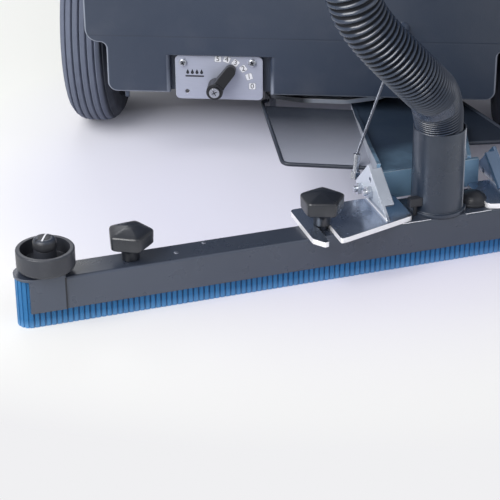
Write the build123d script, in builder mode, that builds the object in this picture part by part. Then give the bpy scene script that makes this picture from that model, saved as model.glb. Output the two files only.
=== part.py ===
"""Walk-behind floor scrubber-dryer, seen with its squeegee swung out to the right.

All sizes are in millimetres. The machine is drawn on the floor, in the middle of its width and just behind its drive axle:
X to the right, Y forward, Z up. Squeegee pieces are drawn on a plane of their own, whose X runs
along the squeegee and whose Y points forward along the swing arm.
"""
import os
from math import cos, radians, sin, tan

from build123d import *

os.makedirs("parts", exist_ok=True)

# Driving dimensions: wheels and body
WHEEL_R = 115.0
AXLE_Y = 15.0
TYRE_WIDTH = 52.0
TYRE_INNER_X = 201.0
TYRE_BEAD_R = 80.0
ARCH_R = 122.0
BODY_HALF = 218.5
APRON_HALF = 197.0
REAR_Y = -130.0
APRON_WALL = 22.0
APRON_BOTTOM = 84.3
APRON_FRONT = 128.0
SHELF_Z = 137.0
TUNNEL_TOP = 140.0
BODY_TOP = 420.0
LEDGE_Y = 478.0
FRONT_Y = 600.0
FRONT_BOTTOM = 245.0
AXLE_R = 10.0

# Driving dimensions: squeegee and its swing
SWING_DEG = 23.1
PIVOT_Y = 38.4
ARM_REACH = 358.0
PIVOT_PIN_R = 10.0
HINGE_V = 245.0
HINGE_Z = 65.5
HINGE_PIN_R = 5.0
BAR_HALF = 366.0
BAR_REAR = -33.0
BAR_FRONT = -3.0
BAR_BOTTOM = 16.0
BAR_TOP = 47.0
BLADE_TOP = 44.0
BLADE_THICK = 4.0
RIB_PITCH = 5.0
RIB_DEPTH = 0.9
PLATE_THICK = 5.0
PLATE_TOP = BAR_TOP + PLATE_THICK
GUSSET_U = 62.0
GUSSET_THICK = 3.0
KNOB_OUTER_U = 303.0
KNOB_INNER_U = 122.5
KNOB_V = -17.0
ROLLER_U = 379.5
ROLLER_R = 26.0
CUFF_U = -5.0
CUFF_V = -8.0
CUFF_R = 24.5
CUFF_TOP = 129.0

# Driving dimensions: suction hose and lift cable
HOSE_R = 22.0
HOSE_VALLEY_R = 19.5
HOSE_BORE_R = 17.0
HOSE_PITCH = 8.6
INLET_X = -25.0
INLET_Z = 575.0
CABLE_R = 1.5
ROD_R = 2.0

# Running clearance on a radius, and the plain gap between pieces that pass each other
FIT = 0.05
GAP = 0.5

# Driving dimensions: brush deck
DECK_HINGE_Y = 262.0
DECK_HINGE_Z = 122.0
BRUSH_X = 140.0
BRUSH_Y = 430.0
BRUSH_R = 134.0
DECK_R = 147.0
DECK_TOP = 104.0

# Driving dimensions: tanks, console and handle
TANK_HALF = 224.5
TANK_REAR = -140.0
TANK_FRONT = 472.0
TANK_TOP = 700.0
LID_TOP = 752.0
CONSOLE_HALF = 180.0
HANDLE_R = 14.0

# The squeegee's own plane on the floor, and the directions along it
ALONG = (cos(radians(SWING_DEG)), sin(radians(SWING_DEG)), 0)
AHEAD = (-sin(radians(SWING_DEG)), cos(radians(SWING_DEG)), 0)
SQUEEGEE = Plane(
    origin=(ARM_REACH * sin(radians(SWING_DEG)), PIVOT_Y - ARM_REACH * cos(radians(SWING_DEG)), 0),
    x_dir=ALONG,
    z_dir=(0, 0, 1),
)

pieces = {}


def keep(name, piece):
    """Label a finished piece and keep it for export under its node's name."""
    piece.part.label = name
    pieces[name] = piece.part


def on_squeegee(u, v, z):
    """The machine's coordinates of a point given along, ahead of and above the squeegee."""
    return SQUEEGEE.from_local_coords(Vector(u, v, z))


def upright(u):
    """A vertical plane across the squeegee at u, drawn in (ahead, up), facing along it."""
    return Plane(origin=on_squeegee(u, 0, 0), x_dir=AHEAD, z_dir=ALONG)


def cylinder_between(start, end, radius):
    """A round bar from one point to another, inside the current part."""
    axis = Vector(end) - Vector(start)
    with BuildSketch(Plane(origin=start, z_dir=axis)) as section:
        Circle(radius)
    extrude(section.sketch, amount=axis.length)


def side_name(side):
    return "left" if side < 0 else "right"


# Lift cable: taut from its gland on the rear wall to the ferrule on the left stay rod
GLAND_R = 7.0
GLAND_LENGTH = 25.0
GLAND_TIP = Vector(96.8, -147.3, 147.3)
FERRULE_TOP = Vector(62.5, -256.5, 78.5)
CABLE_SPLIT = 0.45
CABLE_JOINT = GLAND_TIP + (FERRULE_TOP - GLAND_TIP) * CABLE_SPLIT
CABLE_WAY = (FERRULE_TOP - GLAND_TIP).normalized()
GLAND_ROOT = GLAND_TIP - CABLE_WAY * GLAND_LENGTH

# Lower body: the rotomoulded solution tank with its wheel arches, apron and battery well
BATTERY_WELL = (356.0, 305.0, 205.0)
WELL_Y = 82.0
VAC_Y = 345.0
VAC_WELL_R = 84.0
FILLER_X = -120.0
FILLER_Y = 540.0
FILLER_R = 38.0
CORNER_ROUND = 14.0
STEP_ROUND = 6.5
HEM_ROUND = 10.0
EDGE_ROUND = 2.5
NOSE_ROUND = 20.0
NOSE_CORNER = 60.0
SIDE_WALL = 10.0
NOTCH_LEFT = -132.5
NOTCH_RIGHT = -30.2
NOTCH_TOP = 125.5
NOTCH_DEPTH = 10.0
NOTCH_ROUND = 5.0
DIAL_X = -85.5
DIAL_Z = 92.2
DIAL_STAND = 4.5
DIAL_SCREWS = ((-119.2, 116.6), (-48.5, 117.9))
TAB_X = -177.3


def vertices_at(sketch, across, up):
    """A sketch's corners at a height, the same distance to both sides of its middle."""
    return [corner for corner in sketch.vertices()
            if abs(abs(corner.X) - across) < FIT and abs(corner.Y - up) < FIT]


with BuildPart() as lower_body:
    # Seen from behind: the body, stepped in below to the narrower apron
    with BuildSketch(Plane.XZ.offset(-REAR_Y)) as rear_view:
        with BuildLine():
            Polyline(
                (-BODY_HALF, BODY_TOP),
                (-BODY_HALF, SHELF_Z),
                (-APRON_HALF, SHELF_Z),
                (-APRON_HALF, APRON_BOTTOM),
                (APRON_HALF, APRON_BOTTOM),
                (APRON_HALF, SHELF_Z),
                (BODY_HALF, SHELF_Z),
                (BODY_HALF, BODY_TOP),
                close=True,
            )
        make_face()
        fillet(vertices_at(rear_view, BODY_HALF, SHELF_Z), CORNER_ROUND)
        fillet(vertices_at(rear_view, APRON_HALF, SHELF_Z), STEP_ROUND)
        fillet(vertices_at(rear_view, APRON_HALF, APRON_BOTTOM), HEM_ROUND)
    extrude(amount=REAR_Y - FRONT_Y)
    # Seen from the side: the tunnel for the wheels and castors, and the raised nose
    with BuildSketch(Plane.YZ) as side_view:
        with BuildLine():
            Polyline(
                (REAR_Y, APRON_BOTTOM),
                (REAR_Y, BODY_TOP),
                (FRONT_Y - 12, BODY_TOP),
                (FRONT_Y, 390),
                (FRONT_Y, FRONT_BOTTOM + 25),
                (FRONT_Y - 30, FRONT_BOTTOM),
                (300, FRONT_BOTTOM),
                (215, TUNNEL_TOP),
                (APRON_FRONT, TUNNEL_TOP),
                (APRON_FRONT, APRON_BOTTOM),
                close=True,
            )
        make_face()
        fillet([corner for corner in side_view.vertices() if corner.X > LEDGE_Y], NOSE_ROUND)
    extrude(amount=BODY_HALF, both=True, mode=Mode.INTERSECT)
    with BuildSketch(Plane.XY.offset(APRON_BOTTOM)) as top_view:
        with Locations((0, (REAR_Y + FRONT_Y) / 2)):
            Rectangle(2 * BODY_HALF, FRONT_Y - REAR_Y)
        fillet(top_view.vertices().group_by(Axis.Y)[-1], NOSE_CORNER)
    extrude(amount=BODY_TOP - APRON_BOTTOM, mode=Mode.INTERSECT)
    rear_edges = lower_body.faces().sort_by(Axis.Y)[0].edges()
    fillet(rear_edges.filter_by(lambda edge: edge.center().Z < BODY_TOP - 1), EDGE_ROUND)
    # Tunnel under the body, between the apron and its side walls
    tunnel_rear = REAR_Y + APRON_WALL
    with Locations((0, (tunnel_rear + APRON_FRONT) / 2, APRON_BOTTOM)):
        Box(2 * (APRON_HALF - SIDE_WALL), APRON_FRONT - tunnel_rear, TUNNEL_TOP - APRON_BOTTOM,
            align=(Align.CENTER, Align.CENTER, Align.MIN), mode=Mode.SUBTRACT)
    # Wheel arches and the openings for the axles
    for side in (-1, 1):
        with BuildSketch(Plane(origin=(side * APRON_HALF, AXLE_Y, WHEEL_R), z_dir=(side, 0, 0))):
            Circle(ARCH_R)
        extrude(amount=60, mode=Mode.SUBTRACT)
    with Locations((0, AXLE_Y, APRON_BOTTOM)):
        Box(2 * APRON_HALF, 68, 65, align=(Align.CENTER, Align.CENTER, Align.MIN), mode=Mode.SUBTRACT)
    # Notch for the dial plate, open below, with rounded jambs
    with BuildSketch(Plane.XY.offset(APRON_BOTTOM - 1)):
        with BuildLine():
            TangentArc((NOTCH_LEFT - NOTCH_ROUND, REAR_Y), (NOTCH_LEFT, REAR_Y + NOTCH_ROUND), tangent=(1, 0))
            Polyline((NOTCH_LEFT, REAR_Y + NOTCH_ROUND), (NOTCH_LEFT, REAR_Y + NOTCH_DEPTH),
                     (NOTCH_RIGHT, REAR_Y + NOTCH_DEPTH), (NOTCH_RIGHT, REAR_Y + NOTCH_ROUND))
            TangentArc((NOTCH_RIGHT, REAR_Y + NOTCH_ROUND), (NOTCH_RIGHT + NOTCH_ROUND, REAR_Y),
                       tangent=(0, -1))
            Polyline((NOTCH_RIGHT + NOTCH_ROUND, REAR_Y), (NOTCH_RIGHT + NOTCH_ROUND, REAR_Y - 1),
                     (NOTCH_LEFT - NOTCH_ROUND, REAR_Y - 1), (NOTCH_LEFT - NOTCH_ROUND, REAR_Y))
        make_face()
    extrude(amount=NOTCH_TOP - APRON_BOTTOM + 1, mode=Mode.SUBTRACT)
    # Bosses that carry the dial plate, and a small tab under the apron
    with BuildSketch(Plane.XZ.offset(-REAR_Y - NOTCH_DEPTH)):
        with Locations(*DIAL_SCREWS, (DIAL_X, DIAL_Z)):
            Circle(5)
    extrude(amount=DIAL_STAND)
    with Locations((TAB_X, REAR_Y + 3, APRON_BOTTOM - 2)):
        Box(4, 3, 8)
    # Moulded recesses in the sides
    for side in (-1, 1):
        with BuildSketch(Plane.YZ.offset(side * (BODY_HALF - 5))):
            with Locations((285, 335)):
                RectangleRounded(290, 110, 24)
        extrude(amount=side * 10, taper=-20, mode=Mode.SUBTRACT)
    # Battery well and vacuum well, both under the recovery tank
    with Locations((0, WELL_Y, BODY_TOP)):
        Box(*BATTERY_WELL, align=(Align.CENTER, Align.CENTER, Align.MAX), mode=Mode.SUBTRACT)
    with Locations((0, VAC_Y, BODY_TOP)):
        Cylinder(VAC_WELL_R, 150, align=(Align.CENTER, Align.CENTER, Align.MAX), mode=Mode.SUBTRACT)
    # Solution tank space in the nose, reached through the filler neck
    with Locations((0, 515, 335)):
        Box(400, 130, 150, mode=Mode.SUBTRACT)
    with Locations((FILLER_X, FILLER_Y, BODY_TOP)):
        Cylinder(FILLER_R + 7, 14, align=(Align.CENTER, Align.CENTER, Align.MIN))
        Cylinder(FILLER_R, 60, mode=Mode.SUBTRACT)
    # Gland for the lift cable, pointing along it
    cylinder_between(GLAND_ROOT, GLAND_TIP, GLAND_R)
keep("lower_body", lower_body)

with BuildPart() as filler_cap:
    with BuildSketch(Plane.XY.offset(BODY_TOP + 14 + GAP)):
        with Locations((FILLER_X, FILLER_Y)):
            Circle(FILLER_R + 12)
            with PolarLocations(FILLER_R + 14, 12):
                Circle(6, mode=Mode.SUBTRACT)
    extrude(amount=20)
    with Locations((FILLER_X, FILLER_Y, BODY_TOP + 14 + GAP)):
        Cylinder(FILLER_R - FIT, 16, align=(Align.CENTER, Align.CENTER, Align.MAX))
    chamfer(filler_cap.faces().sort_by(Axis.Z)[-1].edges(), 2)
keep("filler_cap", filler_cap)

# Chassis: two rails, cross members, axle blocks and castor plate, welded into one frame
RAIL_X = 48.0
RAIL_WIDTH = 24.0
RAIL_BOTTOM = 110.0
CASTOR_X = 150.0
CASTOR_Y = 190.0
CASTOR_STEM_R = 9.0
CASTOR_PLATE_BOTTOM = 128.0

with BuildPart() as chassis_frame:
    with Locations((RAIL_X, 90, RAIL_BOTTOM), (-RAIL_X, 90, RAIL_BOTTOM)):
        Box(RAIL_WIDTH, 375, TUNNEL_TOP - RAIL_BOTTOM, align=(Align.CENTER, Align.CENTER, Align.MIN))
    with Locations((0, PIVOT_Y, RAIL_BOTTOM), (0, -76, RAIL_BOTTOM), (0, 190, RAIL_BOTTOM)):
        Box(2 * RAIL_X, 60, TUNNEL_TOP - RAIL_BOTTOM, align=(Align.CENTER, Align.CENTER, Align.MIN))
    with Locations((0, CASTOR_Y, CASTOR_PLATE_BOTTOM)):
        Box(2 * CASTOR_X + 70, 60, TUNNEL_TOP - CASTOR_PLATE_BOTTOM,
            align=(Align.CENTER, Align.CENTER, Align.MIN))
    # Deck hinge cheeks at the front of the rails
    with Locations((RAIL_X, DECK_HINGE_Y, DECK_HINGE_Z), (-RAIL_X, DECK_HINGE_Y, DECK_HINGE_Z)):
        Cylinder(17, RAIL_WIDTH, rotation=(0, 90, 0))
    with Locations((0, DECK_HINGE_Y, DECK_HINGE_Z)):
        Cylinder(8, 300, rotation=(0, 90, 0), mode=Mode.SUBTRACT)
    with Locations((0, PIVOT_Y, TUNNEL_TOP)):
        Cylinder(PIVOT_PIN_R, 60, align=(Align.CENTER, Align.CENTER, Align.MAX), mode=Mode.SUBTRACT)
    with Locations((CASTOR_X, CASTOR_Y, TUNNEL_TOP), (-CASTOR_X, CASTOR_Y, TUNNEL_TOP)):
        Cylinder(CASTOR_STEM_R + FIT, 60, mode=Mode.SUBTRACT)
keep("chassis_frame", chassis_frame)

# Drive motors beside the rails, wheels on their shafts
MOTOR_R = 30.0
MOTOR_INNER_X = RAIL_X + RAIL_WIDTH / 2
MOTOR_LENGTH = 122.0
SHAFT_DEPTH = 60.0

with BuildPart() as drive_motors:
    for side in (-1, 1):
        start = side * MOTOR_INNER_X
        end = start + side * MOTOR_LENGTH
        cylinder_between((start, AXLE_Y, WHEEL_R), (end, AXLE_Y, WHEEL_R), MOTOR_R)
        # Gearbox flange towards the wheel, bored for the axle
        cylinder_between((end - side * 30, AXLE_Y, WHEEL_R), (end, AXLE_Y, WHEEL_R), MOTOR_R + 1.5)
        bore_x = end - side * SHAFT_DEPTH
        with BuildSketch(Plane(origin=(bore_x, AXLE_Y, WHEEL_R), z_dir=(side, 0, 0))):
            Circle(AXLE_R + FIT)
        extrude(amount=SHAFT_DEPTH, mode=Mode.SUBTRACT)
keep("drive_motors", drive_motors)

TYRE_RIBS = 7
GROOVE_DEPTH = 3.2
SHOULDER_DROP = 13.0
RIB_ROUNDING = ((0.08, 0.4), (0.22, 0.0), (0.78, 0.0), (0.92, 0.4), (1.0, 1.0))


def tyre_profile():
    """Half section of the tyre as (across, radius): a crowned tread with round ribs and grooves."""
    points = []
    land = TYRE_WIDTH / TYRE_RIBS
    for rib in range(TYRE_RIBS):
        left = rib * land - TYRE_WIDTH / 2
        for share, depth in RIB_ROUNDING:
            across = left + share * land
            crown = WHEEL_R - SHOULDER_DROP * abs(2 * across / TYRE_WIDTH) ** 4
            points.append((across, crown - depth * GROOVE_DEPTH))
    points.pop()
    return points


def tyre(side):
    mid = side * (TYRE_INNER_X + TYRE_WIDTH / 2)
    tread = [(mid + across, WHEEL_R + radius) for across, radius in tyre_profile()]
    half = TYRE_WIDTH / 2
    with BuildPart() as ring:
        with BuildSketch(Plane.XZ.offset(-AXLE_Y)):
            with BuildLine():
                Polyline(
                    (mid - half + 5, WHEEL_R + TYRE_BEAD_R),
                    (mid - half, WHEEL_R + TYRE_BEAD_R + 8),
                    *tread,
                    (mid + half, WHEEL_R + TYRE_BEAD_R + 8),
                    (mid + half - 5, WHEEL_R + TYRE_BEAD_R),
                    close=True,
                )
            make_face()
        revolve(axis=Axis((0, AXLE_Y, WHEEL_R), (1, 0, 0)))
    return ring


RIM_HALF = TYRE_WIDTH / 2 - 5
AXLE_INNER_X = MOTOR_INNER_X + MOTOR_LENGTH - SHAFT_DEPTH + 2
AXLE_OUTER_X = TYRE_INNER_X + TYRE_WIDTH / 2 + 24


def rim(side):
    """A drive wheel's rim with its five holes, on its axle."""
    mid = side * (TYRE_INNER_X + TYRE_WIDTH / 2)
    with BuildPart() as wheel:
        with BuildSketch(Plane.XZ.offset(-AXLE_Y)):
            with BuildLine():
                Polyline(
                    (mid - RIM_HALF, WHEEL_R + TYRE_BEAD_R),
                    (mid + RIM_HALF, WHEEL_R + TYRE_BEAD_R),
                    (mid + RIM_HALF, WHEEL_R + TYRE_BEAD_R - 8),
                    (mid + side * 8 + 6, WHEEL_R + 62),
                    (mid + side * 8 + 6, WHEEL_R + 34),
                    (mid + 24, WHEEL_R + 26),
                    (mid + 24, WHEEL_R + AXLE_R),
                    (mid - 24, WHEEL_R + AXLE_R),
                    (mid - 24, WHEEL_R + 26),
                    (mid + side * 8 - 6, WHEEL_R + 34),
                    (mid + side * 8 - 6, WHEEL_R + 62),
                    (mid - RIM_HALF, WHEEL_R + TYRE_BEAD_R - 8),
                    close=True,
                )
            make_face()
        revolve(axis=Axis((0, AXLE_Y, WHEEL_R), (1, 0, 0)))
        with BuildSketch(Plane(origin=(mid - 30, AXLE_Y, WHEEL_R), x_dir=(0, 1, 0), z_dir=(1, 0, 0))):
            with PolarLocations(48, 5):
                Circle(8)
        extrude(amount=60, mode=Mode.SUBTRACT)
        inner_end = side * AXLE_INNER_X
        outer_end = side * AXLE_OUTER_X
        cylinder_between((inner_end, AXLE_Y, WHEEL_R), (outer_end, AXLE_Y, WHEEL_R), AXLE_R)
        cylinder_between((outer_end, AXLE_Y, WHEEL_R), (outer_end + side * 4, AXLE_Y, WHEEL_R), AXLE_R + 6)
    return wheel


for side in (-1, 1):
    keep(side_name(side) + "_tyre", tyre(side))
    keep(side_name(side) + "_rim", rim(side))

# Swivel castors under the castor plate
CASTOR_R = 40.0
CASTOR_TRAIL = 26.0
CASTOR_HALF_WIDTH = 13.0
CASTOR_AXLE_R = 5.0
FORK_TOP = 108.0


def castor_fork(side):
    """A fork with its stem, and the axle riveted across it."""
    x = side * CASTOR_X
    y = CASTOR_Y - CASTOR_TRAIL
    with BuildPart() as fork:
        with BuildSketch(Plane.YZ.offset(x + CASTOR_HALF_WIDTH + 3)):
            with BuildLine():
                Polyline((y - 12, CASTOR_R - 6), (y + 12, CASTOR_R - 6), (CASTOR_Y + 20, FORK_TOP),
                         (CASTOR_Y - 34, FORK_TOP), close=True)
            make_face()
        extrude(amount=4)
        mirror(about=Plane.YZ.offset(x))
        with Locations((x, CASTOR_Y - 7, FORK_TOP)):
            Box(2 * (CASTOR_HALF_WIDTH + 7), 54, 6, align=(Align.CENTER, Align.CENTER, Align.MIN))
        with Locations((x, CASTOR_Y, FORK_TOP)):
            Cylinder(19, 19.5, align=(Align.CENTER, Align.CENTER, Align.MIN))
            Cylinder(CASTOR_STEM_R, 31, align=(Align.CENTER, Align.CENTER, Align.MIN))
        with Locations((x, y, CASTOR_R)):
            Cylinder(CASTOR_AXLE_R, 2 * CASTOR_HALF_WIDTH + 14, rotation=(0, 90, 0))
        for end in (-1, 1):
            face = x + end * (CASTOR_HALF_WIDTH + 7)
            cylinder_between((face, y, CASTOR_R), (face + end * 4, y, CASTOR_R), CASTOR_AXLE_R + 3)
    return fork


def castor_wheel(side):
    x = side * CASTOR_X
    y = CASTOR_Y - CASTOR_TRAIL
    with BuildPart() as wheel:
        with Locations((x, y, CASTOR_R)):
            Cylinder(CASTOR_R, 2 * CASTOR_HALF_WIDTH, rotation=(0, 90, 0))
        fillet(wheel.edges(), 4)
        with Locations((x, y, CASTOR_R)):
            Cylinder(CASTOR_AXLE_R + FIT, 80, rotation=(0, 90, 0), mode=Mode.SUBTRACT)
    return wheel


for side in (-1, 1):
    keep(side_name(side) + "_castor_fork", castor_fork(side))
    keep(side_name(side) + "_castor_wheel", castor_wheel(side))

# Brush deck: hinged arms, pan, skirt, two motors and two disc brushes
PIN_R = 8.0
ARM_X = 78.0

PIVOT_HEAD_Z = 64.0

with BuildPart() as chassis_pins:
    reach = ARM_X + 14
    cylinder_between((-reach, DECK_HINGE_Y, DECK_HINGE_Z), (reach, DECK_HINGE_Y, DECK_HINGE_Z), PIN_R)
    with Locations((0, PIVOT_Y, PIVOT_HEAD_Z)):
        Cylinder(PIVOT_PIN_R, 72, align=(Align.CENTER, Align.CENTER, Align.MIN))
        Cylinder(17, 8, align=(Align.CENTER, Align.CENTER, Align.MIN))
keep("chassis_pins", chassis_pins)

PAN_WALL = 4.0
PAN_BOTTOM = 50.0


def deck_outline(grow):
    """Plan of the deck: the hull round its two brushes, grown outward."""
    with BuildSketch(Plane.XY, mode=Mode.PRIVATE) as outline:
        with Locations((-BRUSH_X, BRUSH_Y), (BRUSH_X, BRUSH_Y)):
            Circle(DECK_R + grow)
        with Locations((0, BRUSH_Y)):
            Rectangle(2 * BRUSH_X, 2 * (DECK_R + grow))
    return outline.sketch


SHAFT_R = 10.0

with BuildPart() as deck_housing:
    with BuildSketch(Plane.XY.offset(PAN_BOTTOM)):
        add(deck_outline(0))
    extrude(amount=DECK_TOP - PAN_BOTTOM)
    fillet(deck_housing.faces().sort_by(Axis.Z)[-1].edges(), 14)
    with BuildSketch(Plane.XY.offset(PAN_BOTTOM)):
        add(deck_outline(-PAN_WALL))
    extrude(amount=DECK_TOP - PAN_BOTTOM - 6, mode=Mode.SUBTRACT)
    with Locations((-BRUSH_X, BRUSH_Y, DECK_TOP), (BRUSH_X, BRUSH_Y, DECK_TOP)):
        Cylinder(SHAFT_R + 6, 30, mode=Mode.SUBTRACT)
    # Hinge arms on the pan, tied by a cross bar
    with BuildSketch(Plane.YZ.offset(ARM_X - 6)):
        with BuildLine():
            Polyline((DECK_HINGE_Y, DECK_HINGE_Z + 16), (BRUSH_Y - 60, DECK_TOP + 18),
                     (BRUSH_Y + 60, DECK_TOP + 18), (BRUSH_Y + 60, DECK_TOP - 3),
                     (DECK_HINGE_Y + 24, DECK_TOP - 3), (DECK_HINGE_Y, DECK_HINGE_Z - 16), close=True)
        make_face()
        with Locations((DECK_HINGE_Y, DECK_HINGE_Z)):
            Circle(16)
    arm = extrude(amount=12)
    mirror(arm, about=Plane.YZ)
    with Locations((0, DECK_HINGE_Y + 50, DECK_TOP + 7)):
        Box(2 * ARM_X, 14, 14)
    with Locations((0, DECK_HINGE_Y, DECK_HINGE_Z)):
        Cylinder(PIN_R + FIT, 300, rotation=(0, 90, 0), mode=Mode.SUBTRACT)
keep("deck_housing", deck_housing)

SKIRT_TOP = 82.0
SKIRT_BOTTOM = 9.0

with BuildPart() as deck_skirt:
    with BuildSketch(Plane.XY.offset(SKIRT_BOTTOM)):
        add(deck_outline(5))
        add(deck_outline(0), mode=Mode.SUBTRACT)
    extrude(amount=SKIRT_TOP - SKIRT_BOTTOM)
keep("deck_skirt", deck_skirt)

BRUSH_MOTOR_R = 52.0
BRUSH_MOTOR_TOP = 200.0
PLATE_BOTTOM = 40.0
PLATE_UP = 58.0

with BuildPart() as brush_motors:
    for side in (-1, 1):
        with Locations((side * BRUSH_X, BRUSH_Y, DECK_TOP)):
            Cylinder(BRUSH_MOTOR_R, 26, align=(Align.CENTER, Align.CENTER, Align.MIN))
            Cylinder(BRUSH_MOTOR_R - 8, BRUSH_MOTOR_TOP - DECK_TOP,
                     align=(Align.CENTER, Align.CENTER, Align.MIN))
    fillet(brush_motors.faces().sort_by(Axis.Z)[-2:].edges(), 8)
    with Locations((-BRUSH_X, BRUSH_Y, DECK_TOP), (BRUSH_X, BRUSH_Y, DECK_TOP)):
        Cylinder(SHAFT_R + FIT, 80, mode=Mode.SUBTRACT)
keep("brush_motors", brush_motors)

TUFT_RINGS = ((58.0, 26), (78.0, 34), (98.0, 44), (118.0, 52))
TUFT_SIDE = 5.0


def disc_brush(side):
    """A disc with its hub and drive shaft, and tufts in four rings that stand on the floor."""
    with BuildPart() as brush:
        with Locations((side * BRUSH_X, BRUSH_Y, PLATE_BOTTOM)):
            Cylinder(BRUSH_R, PLATE_UP - PLATE_BOTTOM, align=(Align.CENTER, Align.CENTER, Align.MIN))
        fillet(brush.faces().sort_by(Axis.Z)[-1].edges(), 5)
        with Locations((side * BRUSH_X, BRUSH_Y, PLATE_UP)):
            Cylinder(40, 16, align=(Align.CENTER, Align.CENTER, Align.MIN))
            Cylinder(SHAFT_R, DECK_TOP + 36 - PLATE_UP, align=(Align.CENTER, Align.CENTER, Align.MIN))
        with Locations((side * BRUSH_X, BRUSH_Y, PLATE_BOTTOM)):
            Cylinder(46, 12, align=(Align.CENTER, Align.CENTER, Align.MIN), mode=Mode.SUBTRACT)
        with BuildSketch(Plane.XY.offset(PLATE_BOTTOM)):
            with Locations((side * BRUSH_X, BRUSH_Y)):
                for radius, count in TUFT_RINGS:
                    with PolarLocations(radius, count):
                        Rectangle(TUFT_SIDE, TUFT_SIDE)
        extrude(amount=-PLATE_BOTTOM)
    return brush


for side in (-1, 1):
    keep(side_name(side) + "_brush", disc_brush(side))

# Batteries and vacuum motor, hidden under the recovery tank
BATTERY_SIZE = (168.0, 270.0, 190.0)

with BuildPart() as batteries:
    with Locations((-88, WELL_Y, BODY_TOP - BATTERY_WELL[2]), (88, WELL_Y, BODY_TOP - BATTERY_WELL[2])):
        Box(*BATTERY_SIZE, align=(Align.CENTER, Align.CENTER, Align.MIN))
    fillet(batteries.edges().filter_by(Axis.Z), 8)
    for x in (-138, -38, 38, 138):
        with Locations((x, WELL_Y + 105, BODY_TOP - BATTERY_WELL[2] + BATTERY_SIZE[2])):
            Cylinder(8, 12, align=(Align.CENTER, Align.CENTER, Align.MIN))
keep("batteries", batteries)

with BuildPart() as vacuum_motor:
    with Locations((0, VAC_Y, BODY_TOP - 150)):
        Cylinder(72, 60, align=(Align.CENTER, Align.CENTER, Align.MIN))
        Cylinder(52, 140, align=(Align.CENTER, Align.CENTER, Align.MIN))
    fillet(vacuum_motor.faces().sort_by(Axis.Z)[-1].edges(), 10)
keep("vacuum_motor", vacuum_motor)

# Recovery tank with its open top and rear hose inlet, lid on a front hinge
TANK_BOTTOM = BODY_TOP
TANK_WALL = 9.0
TANK_DRAFT = 12.0
TANK_MID = (TANK_REAR + TANK_FRONT) / 2
TANK_LENGTH = TANK_FRONT - TANK_REAR
TANK_RECESS = 7.0
INLET_R = HOSE_R + 4
INLET_REACH = 34.0
HOSE_STOP_Y = -146.0
SEAL_HEIGHT = 3.0
LID_BOTTOM = TANK_TOP + SEAL_HEIGHT + GAP
LID_HINGE_Y = TANK_FRONT + 12
LID_HINGE_Z = LID_BOTTOM + 6
LID_PIN_R = 4.0
LID_HINGE_X = 130.0

with BuildPart() as recovery_tank:
    with BuildSketch(Plane.XY.offset(TANK_BOTTOM)):
        with Locations((0, TANK_MID)):
            RectangleRounded(2 * TANK_HALF - TANK_DRAFT, TANK_LENGTH - TANK_DRAFT, 40)
    with BuildSketch(Plane.XY.offset(TANK_TOP)):
        with Locations((0, TANK_MID)):
            RectangleRounded(2 * TANK_HALF, TANK_LENGTH, 46)
    loft()
    inner_width = 2 * (TANK_HALF - TANK_WALL)
    inner_length = TANK_LENGTH - 2 * TANK_WALL
    with BuildSketch(Plane.XY.offset(TANK_BOTTOM + 8)):
        with Locations((0, TANK_MID)):
            RectangleRounded(inner_width - TANK_DRAFT, inner_length - TANK_DRAFT, 34)
    with BuildSketch(Plane.XY.offset(TANK_TOP)):
        with Locations((0, TANK_MID)):
            RectangleRounded(inner_width, inner_length, 40)
    loft(mode=Mode.SUBTRACT)
    # Recessed panels in the sides and the front
    for side in (-1, 1):
        with BuildSketch(Plane.YZ.offset(side * (TANK_HALF - TANK_RECESS))):
            with Locations((TANK_MID, 560)):
                RectangleRounded(430, 190, 30)
        extrude(amount=side * 20, mode=Mode.SUBTRACT)
    with BuildSketch(Plane.XZ.offset(TANK_RECESS - TANK_FRONT)):
        with Locations((0, 535)):
            RectangleRounded(330, 170, 30)
    extrude(amount=-20, mode=Mode.SUBTRACT)
    inlet_end = TANK_REAR - INLET_REACH
    cylinder_between((INLET_X, TANK_REAR + 8, INLET_Z), (INLET_X, inlet_end, INLET_Z), INLET_R)
    for start_y, radius in ((TANK_REAR + 20, HOSE_BORE_R), (HOSE_STOP_Y, HOSE_R + 0.6)):
        with BuildSketch(Plane.XZ.offset(-start_y)):
            with Locations((INLET_X, INLET_Z)):
                Circle(radius)
        extrude(amount=INLET_REACH + 30, mode=Mode.SUBTRACT)
    # Moulded hinge lugs for the lid on the front wall
    for x in (-LID_HINGE_X, LID_HINGE_X):
        for cheek in (-26, 26):
            with BuildSketch(Plane.YZ.offset(x + cheek - 5)):
                with Locations((LID_HINGE_Y, LID_HINGE_Z)):
                    Circle(8)
                with BuildLine():
                    Polyline((LID_HINGE_Y + 8, LID_HINGE_Z), (LID_HINGE_Y - 8, LID_HINGE_Z),
                             (TANK_FRONT - 3, TANK_TOP - 20), (TANK_FRONT - 3, TANK_TOP - 60),
                             (LID_HINGE_Y - 4, TANK_TOP - 60), close=True)
                make_face()
            extrude(amount=10)
    with Locations((0, LID_HINGE_Y, LID_HINGE_Z)):
        Cylinder(LID_PIN_R, 400, rotation=(0, 90, 0), mode=Mode.SUBTRACT)
keep("recovery_tank", recovery_tank)

with BuildPart() as lid_seal:
    with BuildSketch(Plane.XY.offset(TANK_TOP)):
        with Locations((0, TANK_MID)):
            RectangleRounded(2 * TANK_HALF - 1, TANK_LENGTH - 1, 45)
            RectangleRounded(2 * TANK_HALF - 11, TANK_LENGTH - 11, 40, mode=Mode.SUBTRACT)
    extrude(amount=SEAL_HEIGHT)
keep("lid_seal", lid_seal)

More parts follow.
